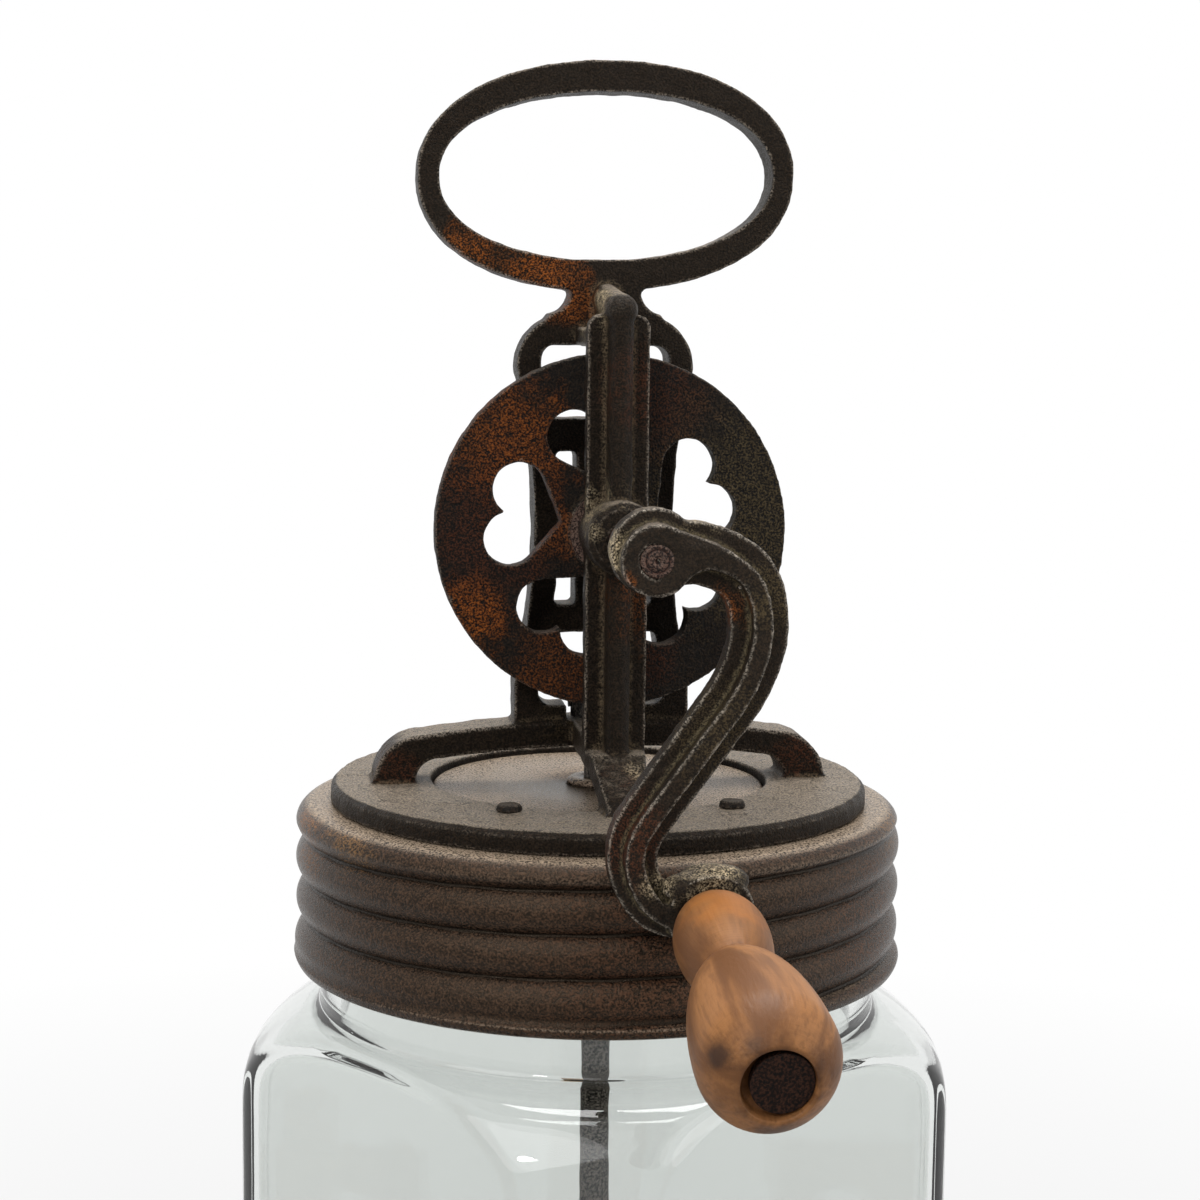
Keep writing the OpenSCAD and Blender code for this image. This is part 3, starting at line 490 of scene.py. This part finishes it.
# The rivets: four soft iron rivets through ring and cap, their heads hammered over by hand.
# The bush in the cap's middle is a plain iron bearing for the spindle, with a collar on the sheet.
def sand_cast(name, nodes, voxel, soften, lump, lump_size, settled=None, more=()):
    """The frame's solids as one rough casting: run together, edges rounded over, skin a little uneven.

    voxel, lump and lump_size are in millimetres; settled turns a node's solid a little out of true,
    and more holds further solids of the same casting.
    """
    solids = []
    for node in nodes:
        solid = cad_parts[node].data.copy()
        if settled and node in settled:
            solid.transform(settled[node])
        solids.append(solid)
    work = bmesh.new()
    for solid in solids + list(more):
        work.from_mesh(solid)
        bpy.data.meshes.remove(solid)
    mesh = bpy.data.meshes.new(name)
    work.to_mesh(mesh)
    work.free()
    rough = stand(name + "_rough", mesh)
    close = rough.modifiers.new("run_together", "REMESH")
    close.mode = "VOXEL"
    close.voxel_size = voxel * MM
    close.use_smooth_shade = True
    ease = rough.modifiers.new("rounded_edges", "SMOOTH")
    ease.factor = 0.5
    ease.iterations = soften
    uneven = bpy.data.textures.new(name + "_lumps", "CLOUDS")
    uneven.noise_scale = lump_size * MM
    uneven.noise_depth = 3
    skin_lumps = rough.modifiers.new("uneven_skin", "DISPLACE")
    skin_lumps.texture = uneven
    skin_lumps.texture_coords = "LOCAL"
    skin_lumps.strength = lump * MM
    skin_lumps.mid_level = 0.5
    bpy.context.view_layer.update()
    done = bpy.data.meshes.new_from_object(rough.evaluated_get(bpy.context.evaluated_depsgraph_get()))
    bpy.data.objects.remove(rough)
    done.name = name
    return stand(name, done)


iron_colours = {
    "dark": tint(8, 6, 4), "brown": tint(35, 27, 20), "dust_and_painted_light": tint(138, 126, 111),
    "grime_and_painted_shade": tint(116, 101, 80), "rubbed_and_highlight": tint(150, 138, 124),
}
rivets = sand_cast("hammered_rivets", ["cap_rivets"], voxel=0.3, soften=3, lump=0.35, lump_size=1.2)
rivet_iron = old_iron(
    "rivet_iron", iron_colours, {"Specular IOR Level": 0.12}, grain=2400.0,
    on_top=0.15, in_hollows=0.3, rubbed_and_highlight=0.2, bump=(0.5, 0.4), roughness=(0.5, 0.8))
dress(rivets, rivet_iron)
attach(rivets, "lid")
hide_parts("cap_rivets")
bush_foot, bush_top = (corner[2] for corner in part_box("spindle_bush"))
bush_bore = 3.36 * MM
bush_body = 5.9 * MM
bush_collar = 7.2 * MM
bush_face = bush_top - 0.3 * MM
collar_foot = bush_top - 1.75 * MM
collar_chamfer = 0.9 * MM
bush_profile = [
    (bush_bore, bush_foot), (bush_body, bush_foot), (bush_body, collar_foot), (bush_collar, collar_foot),
    (bush_collar, bush_top - collar_chamfer), (bush_collar - collar_chamfer, bush_face),
    (bush_bore, bush_face),
]
bush = skin("spindle_bush_turned", [ring(reach, height) for reach, height in bush_profile], closed=True)
outward(bush)
dress(bush, worn_tin)
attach(bush, "lid")
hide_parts("spindle_bush")


# The gear head: base ring, bridge, rear frame, front post and carrying loop, poured as one iron casting.
# Its skin is sandy and dark, with dust in the fillets, rust in patches, and painted highlights on the boss.
# The loop sits a little askew.
loop_half_tall = 25.6 * MM
loop_tilt = math.radians(-1.3)
loop_middle = Matrix.Translation((0, 0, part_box("carry_loop")[1][2] - loop_half_tall))
loop_askew = loop_middle @ Matrix.Rotation(loop_tilt, 4, "Y") @ loop_middle.inverted()
head = sand_cast(
    "gear_head_casting", ["base_ring", "bridge_legs", "rear_frame", "front_post", "carry_loop"],
    voxel=0.55, soften=3, lump=0.5, lump_size=5.0, settled={"carry_loop": loop_askew})
rust_orange = tint(136, 74, 28)
rust_red = tint(84, 44, 27)
pale_dust_and_highlight = tint(182, 165, 134)
olive_dirt = tint(92, 80, 56)
# The pale patches on top of the boss are partly dust and partly painted highlight, and the pale one on the
# boss's left side is a painted highlight; the others are rust, dust and dirt.
head_rust_dust_and_highlights = [
    ((-31, -5, 329), 11, 0.9, rust_orange), ((-14, -5, 325), 13, 1.0, rust_orange),
    ((-8, -4, 319), 9, 0.9, rust_orange), ((6, -26, 254), 14, 0.35, rust_orange),
    ((5, -26, 300), 14, 0.5, rust_red), ((2, -38, 252), 5, 0.8, rust_orange),
    ((-47, -4, 212), 9, 0.5, rust_red), ((46, -4, 214), 9, 0.6, rust_red),
    ((2, -36, 213), 8, 0.4, rust_red), ((-1, -18, 319), 12, 1.0, pale_dust_and_highlight),
    ((-8, -30, 275), 8, 0.9, pale_dust_and_highlight), ((0, -28, 279), 5, 0.7, pale_dust_and_highlight),
    ((-4, -44, 277), 8, 1.0, pale_dust_and_highlight), ((5, -50, 277), 6, 0.8, pale_dust_and_highlight),
    ((-8, -40, 270), 5, 0.6, pale_dust_and_highlight), ((3, -37, 219), 4, 0.7, pale_dust_and_highlight),
    ((0, 0, 228), 20, 0.4, olive_dirt),
]
warm_sheen = (1.0, 0.85, 0.7, 1)
cast_iron = old_iron(
    "sandy_cast_iron", iron_colours, {"Specular IOR Level": 0.14, "Specular Tint": warm_sheen},
    grain=2200.0, on_top=0.9, in_hollows=0.4, rubbed_and_highlight=0.8, bump=(1.0, 1.2), roughness=(0.26, 0.55),
    patches=head_rust_dust_and_highlights)
dress(head, cast_iron)
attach(head, "lid")
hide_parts("base_ring", "bridge_legs", "rear_frame", "front_post", "carry_loop")


# The crank shaft: a turned steel rod through rear frame, wheel, post and crank, its end centre marked.
# Washer, collar and cross pins are the plain hardware that keeps it in place behind the post.
shaft_low, shaft_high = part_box("crank_shaft")
shaft_height = (shaft_low[2] + shaft_high[2]) / 2
shaft_reach = (shaft_high[2] - shaft_low[2]) / 2
shaft_back = shaft_high[1]
shaft_front = shaft_low[1]
shaft_chamfer = 0.4 * MM
shaft_seat = 30 * MM
tool_line = 2.3 * MM
tool_line_half = 0.2 * MM
tool_line_deep = 0.3 * MM
centre_reach = 0.7 * MM
centre_deep = 0.8 * MM
lathe_turn = np.linspace(0, 2 * math.pi, 64, endpoint=False)


def turned(name, profile, frame_of_piece, first=None, last=None, closed=False, wobble=None):
    """A piece turned on a lathe from a profile of radius and place along its axis, then set in place."""
    rings = []
    for reach, along in profile:
        points = ring(reach, along, lathe_turn)
        if wobble is not None:
            points[:, :2] *= wobble(lathe_turn, along)[:, None]
        rings.append(points)
    ends = [None if end is None else (0, 0, end) for end in (first, last)]
    piece = skin(name, rings, first=ends[0], last=ends[1], closed=closed)
    piece.data.transform(frame_of_piece)
    outward(piece)
    return piece


toward_front = Matrix.Translation((0, 0, shaft_height)) @ Matrix.Rotation(math.radians(90), 4, "X")
far_end = -shaft_back
near_end = -shaft_front
shaft = turned("crank_shaft_turned", [
    (shaft_reach - shaft_chamfer, far_end), (shaft_reach, far_end + shaft_chamfer),
    (shaft_reach, near_end - shaft_seat), (shaft_reach, near_end - shaft_chamfer),
    (shaft_reach - shaft_chamfer, near_end), (tool_line + tool_line_half, near_end),
    (tool_line, near_end - tool_line_deep), (tool_line - tool_line_half, near_end),
    (centre_reach, near_end), (centre_reach / 2, near_end - 0.75 * centre_deep),
], toward_front, first=far_end, last=near_end - centre_deep)
shaft_colours = {
    "dark": tint(30, 20, 17), "brown": tint(66, 44, 36), "dust_and_painted_light": tint(104, 86, 70),
    "grime_and_painted_shade": tint(24, 18, 15), "rubbed_and_highlight": tint(130, 112, 100),
}
shaft_steel = old_iron(
    "brown_shaft_steel", shaft_colours, {"Specular IOR Level": 0.15}, grain=2400.0,
    on_top=0.1, in_hollows=0.7, rubbed_and_highlight=0.3, bump=(0.4, 0.3), roughness=(0.42, 0.75))
dress(shaft, shaft_steel)
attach(shaft, "crank")
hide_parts("crank_shaft")
for node in ("wheel_pin", "rear_collar_pin", "thrust_washer", "rear_collar"):
    dress(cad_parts[node], shaft_steel)


# The drive wheel: a cast iron wheel with five heart shaped openings and bevel teeth on the back of its rim.
# Its face is left as cast, rusted brown on one side and dirty olive on the other.
wheel = sand_cast("drive_wheel_casting", ["drive_wheel"], voxel=0.45, soften=2, lump=0.4, lump_size=3.0)
wheel_rust = [
    ((-22, -18, 288), 20, 0.75, rust_orange), ((-30, -18, 250), 12, 1.0, rust_orange),
    ((-26, -18, 268), 26, 0.5, rust_red), ((-12, -18, 236), 18, 0.4, rust_orange),
    ((28, -18, 272), 36, 0.45, olive_dirt), ((10, -18, 296), 18, 0.4, rust_red),
    ((8, -18, 240), 12, 0.4, rust_red), ((-14, -18, 268), 10, 0.5, rust_orange),
]
wheel_iron = old_iron(
    "rusty_wheel_iron", iron_colours, {"Specular IOR Level": 0.12}, grain=2000.0,
    on_top=0.25, in_hollows=0.1, rubbed_and_highlight=0.3, bump=(1.0, 1.3), roughness=(0.38, 0.7), patches=wheel_rust)
dress(wheel, wheel_iron)
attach(wheel, "crank")
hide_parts("drive_wheel")


# The crank: an S shaped cast iron arm with a raised rib down its middle, a hub and an eye for the grip.
# It is driven on to the shaft's end. Its edges are bright, partly worn by hands and partly painted
# highlight, and hands leave dirt in its grooves.
# The rib's root runs from the hub's middle: each row is its place across and up, and its half width, in mm.
rib_root = np.array([
    (0, 0, 6.6), (4.6, 0.8, 5.4), (7.0, 1.1, 4.1), (9.1, 1.1, 3.2), (11.6, 0.7, 2.6), (14.2, -0.5, 2.2),
    (16.7, -1.9, 2.0),
]) * MM
root_back = shaft_front + 7 * MM
root_front = shaft_front + 0.3 * MM


def plate(name, outline, back, front):
    """A flat plate, upright and facing the front, cut to an outline of points across and up."""
    count = len(outline)
    points = [(x, y, z) for y in (back, front) for x, z in outline]
    faces = [tuple(range(count)), tuple(range(2 * count - 1, count - 1, -1))]
    faces += [(k, k + count, (k + 1) % count + count, (k + 1) % count) for k in range(count)]
    mesh = bpy.data.meshes.new(name)
    mesh.from_pydata(points, [], faces)
    return mesh


root_line = rib_root[:, :2]
course = np.gradient(root_line, axis=0)
square_to_course = np.stack([-course[:, 1], course[:, 0]], axis=1) / np.linalg.norm(course, axis=1)[:, None]
root_half = square_to_course * rib_root[:, 2:]
root_edge = np.concatenate([root_line + root_half, (root_line - root_half)[::-1]]) + (0, shaft_height)
root_plate = plate("rib_root", root_edge.tolist(), root_back, root_front)


def boulder(name, middle, reach):
    """A rounded lump, wider or flatter along each way, in millimetres."""
    work = bmesh.new()
    bmesh.ops.create_icosphere(work, subdivisions=3, radius=1)
    shape = Matrix.LocRotScale(Vector(middle) * MM, None, Vector(reach) * MM)
    bmesh.ops.transform(work, matrix=shape, verts=work.verts)
    mesh = bpy.data.meshes.new(name)
    work.to_mesh(mesh)
    work.free()
    return mesh


eye_crust = [
    boulder("eye_crust", middle, reach)
    for middle, reach in (((14, -79, 203), (6, 4, 3.6)), ((7, -79, 202), (5, 4, 3)))
]
arm = sand_cast(
    "crank_arm_casting", ["crank_arm"], voxel=0.4, soften=5, lump=0.5, lump_size=3.0,
    more=[root_plate] + eye_crust)
# The pale patch on the hub's left side is a painted highlight; the others are dirt, rust and dust, and a
# dark patch on the hub's face.
arm_dirt_and_highlight = [
    ((24, -78, 260), 10, 0.5, olive_dirt), ((14, -78, 258), 7, 0.9, rust_orange),
    ((14, -78, 234), 16, 0.3, olive_dirt), ((-4, -78, 212), 14, 0.5, rust_red),
    ((12, -80, 206), 10, 1.0, pale_dust_and_highlight), ((2, -80, 203), 6, 0.7, pale_dust_and_highlight),
    ((0, -84, 268), 9, 0.9, tint(20, 14, 10)), ((-6, -82, 264), 3, 0.8, rust_orange),
    ((-8, -76, 270), 6, 1.0, pale_dust_and_highlight), ((10, -74, 277), 6, 0.8, pale_dust_and_highlight),
]
arm_colours = {**iron_colours, "grime_and_painted_shade": tint(84, 75, 56), "rubbed_and_highlight": tint(172, 162, 148)}
arm_iron = old_iron(
    "handled_crank_iron", arm_colours, {"Specular IOR Level": 0.16, "Specular Tint": warm_sheen},
    grain=2400.0, on_top=0.4, in_hollows=0.8, rubbed_and_highlight=0.7, bump=(0.8, 0.6), roughness=(0.32, 0.62),
    patches=arm_dirt_and_highlight)
dress(arm, arm_iron)
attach(arm, "crank")
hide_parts("crank_arm")


# The grip: a knob turned from one piece of hardwood, with a bead at the crank and an egg shaped end.
# Hands have worn it smooth and oiled it.
# It spins on an iron rod whose riveted head sits in a recess in the knob's end.
grip_base = Vector((12 * MM, -81.5 * MM, 196.2 * MM))
grip_lean = math.radians(10)
grip_askew = math.radians(-0.7)
grip_start = 0.3 * MM
grip_long = 71 * MM
grip_bead = 9.6 * MM
grip_bead_at = 12 * MM
grip_bead_half = 21 * MM
grip_bead_back = 14.5 * MM
grip_wide = 13.4 * MM
grip_widest = grip_long - 12.5 * MM
grip_egg = grip_widest - 22 * MM
grip_end = 13 * MM
recess_reach = 6.8 * MM
recess_floor = grip_long - 4.5 * MM
bore_reach = 3.05 * MM


def oval(reach, off, length):
    """Half the width of an oval at a distance from its middle."""
    return reach * math.sqrt(max(0, 1 - (off / length) ** 2))


def grip_reach(along):
    """Radius of the knob at a place along it."""
    bead_length = grip_bead_back if along < grip_bead_at else grip_bead_half
    egg_length = grip_egg if along < grip_widest else grip_end
    bead = oval(grip_bead, along - grip_bead_at, bead_length)
    egg = oval(grip_wide, along - grip_widest, egg_length)
    return max(bead, egg)


def hand_worn(turn, along):
    """A knob is never quite round: shallow flats and hollows that drift along it."""
    flats = 0.006 * np.cos(2 * turn + along * 60)
    hollows = 0.004 * np.cos(3 * turn - along * 95)
    return 1 + flats + hollows


places = np.arange(grip_start, grip_long - 0.5 * MM, 0.4 * MM)
outside = [(grip_reach(p), p) for p in places if grip_reach(p) > recess_reach + 0.7 * MM or p < grip_widest]
rim = outside[-1][1] + 0.25 * MM
grip_profile = [(bore_reach, grip_start)] + outside + [
    (recess_reach + 0.35 * MM, rim), (recess_reach + 0.05 * MM, rim - 0.3 * MM),
    (recess_reach, rim - 0.9 * MM), (recess_reach - 0.2 * MM, recess_floor + 0.4 * MM),
    (recess_reach - 0.6 * MM, recess_floor), (bore_reach, recess_floor),
]
along_grip = math.radians(90) + grip_lean
toward_hand = Matrix.Rotation(grip_askew, 4, "Z") @ Matrix.Rotation(along_grip, 4, "X")
toward_hand = Matrix.Translation(grip_base) @ toward_hand
grip = turned("turned_wooden_grip", grip_profile, toward_hand, closed=True, wobble=hand_worn)

# Grain: growth bands and pores drawn out along the wood, and the fine lines that a lathe leaves across it
grain_wood, takes, gives = new_group(
    "wood_grain", [("Grain Direction", "Vector", (0, 0, 0)), ("Fineness", "Float", 1.0)],
    [("Rings", "Float"), ("Pores", "Float"), ("Turning", "Float")])
place = place_on_piece(grain_wood)
laid = {"Vector": place, "Rotation": takes["Grain Direction"], "Scale": (1.0, 1.0, 9.0)}
along_grain = put(grain_wood, "Mapping", laid, vector_type="TEXTURE").outputs[0]
bands_scale = sums(grain_wood, "MULTIPLY", takes["Fineness"], 160.0, bounded=False)
bands = clouds(grain_wood, along_grain, scale=bands_scale, detail=4.0, distortion=0.6)
pores_scale = sums(grain_wood, "MULTIPLY", takes["Fineness"], 1100.0, bounded=False)
pores = clouds(grain_wood, along_grain, scale=pores_scale, detail=3.0)
steps_along = put(grain_wood, "SeparateXYZ", {"Vector": along_grain}).outputs["Z"]
steps_along = put(grain_wood, "CombineXYZ", {"X": steps_along, "Y": steps_along}).outputs[0]
turning = clouds(grain_wood, steps_along, scale=16000.0, detail=3.0)
for label, value in (("Rings", bands), ("Pores", pores), ("Turning", turning)):
    grain_wood.links.new(value, gives[label])


def oiled_wood(name, pale, deep, plain, direction, fineness, turned_lines, patches):
    """Wood with growth bands and pores along its grain, and patches at given places: stains, and on the
    grip also a painted highlight and painted shade.
    """
    made, tree, shader = new_finish(name, plain)
    laid = {"Grain Direction": direction, "Fineness": fineness}
    grain = put(tree, "Group", laid, node_tree=grain_wood).outputs
    colour = over(tree, climb(tree, grain["Rings"], 0.35, 0.65), deep, pale)
    colour = over(tree, sums(tree, "MULTIPLY", climb(tree, grain["Pores"], 0.52, 0.3), 0.45), colour, deep)
    lines = sums(tree, "MULTIPLY", climb(tree, grain["Turning"], 0.52, 0.36), turned_lines)
    colour = over(tree, lines, colour, deep)
    for middle, reach, strength, hue in patches:
        colour = over(tree, patch_mask(tree, middle, reach, strength), colour, hue)
    tree.links.new(colour, shader.inputs["Base Color"])
    raise_skin(tree, shader, grain["Pores"], strength=0.35, distance=0.4 * MM)
    return made


# The bright patch on the bead is a painted highlight. On the egg, the dark patches on its right side and
# underside are painted shade, the large one round the recess is partly stain and partly painted shade, the
# one at the neck between bead and egg makes it darker, and the rest are stains.
grip_stains_highlight_and_shade = [
    ((12, -95, 205), 13, 0.5, tint(182, 112, 48)), ((2, -146, 189), 4.5, 0.85, tint(50, 33, 24)),
    ((7, -149, 191), 3.5, 0.6, tint(62, 42, 30)), ((11, -152, 184), 11.5, 0.85, tint(54, 33, 20)),
    ((24, -138, 180), 9, 0.6, tint(82, 52, 30)), ((10, -110, 196), 7, 0.4, tint(96, 60, 32)),
    ((0, -138, 176), 9, 0.6, tint(80, 51, 29)), ((12, -146, 172), 9, 0.7, tint(64, 40, 24)),
    ((24, -148, 184), 5, 0.6, tint(70, 44, 27)),
]
grip_wood = oiled_wood(
    "oiled_grip_wood", tint(148, 101, 60), tint(102, 66, 38), {"Roughness": 0.5, "Specular IOR Level": 0.2},
    direction=(along_grip, 0, 0), fineness=1.0, turned_lines=0.2, patches=grip_stains_highlight_and_shade)
dress(grip, grip_wood)
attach(grip, "grip")
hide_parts("wooden_grip")
rod_colours = {
    "dark": tint(16, 10, 8), "brown": tint(36, 21, 15), "dust_and_painted_light": tint(60, 42, 32),
    "grime_and_painted_shade": tint(12, 8, 6), "rubbed_and_highlight": tint(70, 48, 38),
}
rod_iron = old_iron(
    "rusty_rod_iron", rod_colours, {"Specular IOR Level": 0.1}, grain=1800.0,
    on_top=0.1, in_hollows=0.3, rubbed_and_highlight=0.2, bump=(0.6, 0.5), roughness=(0.6, 0.9))
dress(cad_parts["grip_rod"], rod_iron)


# The spindle: an iron rod down through the cap, with the small bevel pinion pinned to its upper end.
# Cream and damp have darkened it; below the lid it is crusted grey.
spindle_colours = {
    "dark": tint(20, 18, 16), "brown": tint(48, 43, 38), "dust_and_painted_light": tint(90, 82, 74),
    "grime_and_painted_shade": tint(30, 26, 24), "rubbed_and_highlight": tint(130, 122, 114),
}
spindle_iron = old_iron(
    "crusted_spindle_iron", spindle_colours, {"Specular IOR Level": 0.2}, grain=1600.0,
    on_top=0.3, in_hollows=0.4, rubbed_and_highlight=0.4, bump=(0.6, 0.5), roughness=(0.45, 0.85),
    patches=[((0, 0, 150), 30, 0.6, tint(84, 78, 70))])
for node in ("spindle", "pinion", "pinion_pin"):
    dress(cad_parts[node], spindle_iron)


# The dasher: two crossed boards of scrubbed wood with round holes, held by an iron socket, a pin and a nut.
# The boards are sawn flat and their edges are eased with a plane.
for node in ("dasher_socket", "dasher_pin", "dasher_nut"):
    dress(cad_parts[node], spindle_iron)
board_wood = oiled_wood(
    "scrubbed_board_wood", tint(196, 168, 128), tint(160, 126, 86),
    {"Roughness": 0.75, "Specular IOR Level": 0.25}, direction=(0, 0, 0), fineness=0.5, turned_lines=0.0,
    patches=[((0, 0, 20), 40, 0.4, tint(120, 98, 72))])
for node in ("dasher_board_long", "dasher_board_cross"):
    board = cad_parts[node]
    dress(board, board_wood)
    eased = board.modifiers.new("eased_edges", "BEVEL")
    eased.width = 0.8 * MM
    eased.segments = 2
    eased.limit_method = "ANGLE"


# The studio: a pale floor that keeps the shadow, a white room, three soft lamps and a small one for glints.
# The camera stands a little above the wheel and to the left of the crank.
floor_half = 6
floor_drop = 0.5 * MM
floor_mesh = bpy.data.meshes.new("studio_floor")
floor_corners = [(x * floor_half, y * floor_half, 0) for x, y in ((-1, -1), (1, -1), (1, 1), (-1, 1))]
floor_mesh.from_pydata(floor_corners, [], [(0, 1, 2, 3)])
floor = stand("studio_floor", floor_mesh)
floor.location.z = -floor_drop


def seen_plainly(tree):
    """1 for what the camera sees, straight on or in gloss and glass, and 0 for light that only bounces."""
    rays = put(tree, "LightPath", {}).outputs
    in_pieces = sums(tree, "MAXIMUM", rays["Is Glossy Ray"], rays["Is Transmission Ray"])
    return sums(tree, "MAXIMUM", rays["Is Camera Ray"], in_pieces)


floor_paint, tree, shader = new_finish("white_floor", {
    "Base Color": (0.4, 0.4, 0.4, 1), "Roughness": 0.9, "Specular IOR Level": 0.1,
})
from_jar = put(tree, "VectorMath", {0: place_on_piece(tree)}, operation="LENGTH").outputs["Value"]
fade = {"Value": from_jar, "From Min": 0.15, "From Max": 0.6, "To Min": 0.72, "To Max": 1.0}
whiter = put(tree, "MapRange", fade).outputs["Result"]
white = put(tree, "Emission", {"Color": (1, 1, 1, 1), "Strength": 1.0})
share = sums(tree, "MULTIPLY", seen_plainly(tree), whiter)
both = put(tree, "MixShader", {0: share, 1: shader.outputs[0], 2: white.outputs[0]})
tree.links.new(both.outputs[0], tree.nodes["Material Output"].inputs["Surface"])
dress(floor, floor_paint)

room = bpy.data.worlds.new("white_room")
bpy.context.scene.world = room
room.use_nodes = True
tree = room.node_tree
level = put(tree, "MapRange", {"Value": seen_plainly(tree), "To Min": 0.14, "To Max": 1.0})
tree.links.new(level.outputs["Result"], tree.nodes["Background"].inputs["Strength"])
tree.nodes["Background"].inputs["Color"].default_value = (1, 1, 1, 1)


def lamp(name, place, aim, size, watts):
    """One soft box lamp, turned to look at a place."""
    data = bpy.data.lights.new(name, "AREA")
    data.shape = "DISK"
    data.size = size
    data.energy = watts
    made = stand(name, data)
    made.location = place
    made.rotation_euler = (Vector(aim) - Vector(place)).to_track_quat("-Z", "Y").to_euler()


lamp("key_lamp", (-0.7, -0.8, 1.1), (0, 0, 0.25), size=1.5, watts=10)
lamp("side_lamp", (0.9, -0.5, 0.7), (0, 0, 0.25), size=1.2, watts=6)
lamp("glint_lamp", (-0.5, -0.85, 0.8), (0, 0, 0.27), size=0.14, watts=2.5)
lamp("top_lamp", (0.1, 0.3, 1.5), (0, 0, 0.25), size=1.0, watts=24)

eye_place = (-0.07496, -0.5334, 0.3165)
eye_turn = math.radians(-8.0)
eye_tilt = math.radians(83.02)
eye_roll = math.radians(0.64)
eye = bpy.data.cameras.new("photo_eye")
eye.sensor_width = 36
eye.lens = 70.34
eye.clip_start = 0.01
camera = stand("photo_eye", eye)
aim = Matrix.Rotation(eye_turn, 4, "Z") @ Matrix.Rotation(eye_tilt, 4, "X")
camera.matrix_world = Matrix.Translation(eye_place) @ aim @ Matrix.Rotation(eye_roll, 4, "Z")
bpy.context.scene.camera = camera
bpy.context.scene.view_settings.view_transform = "Standard"
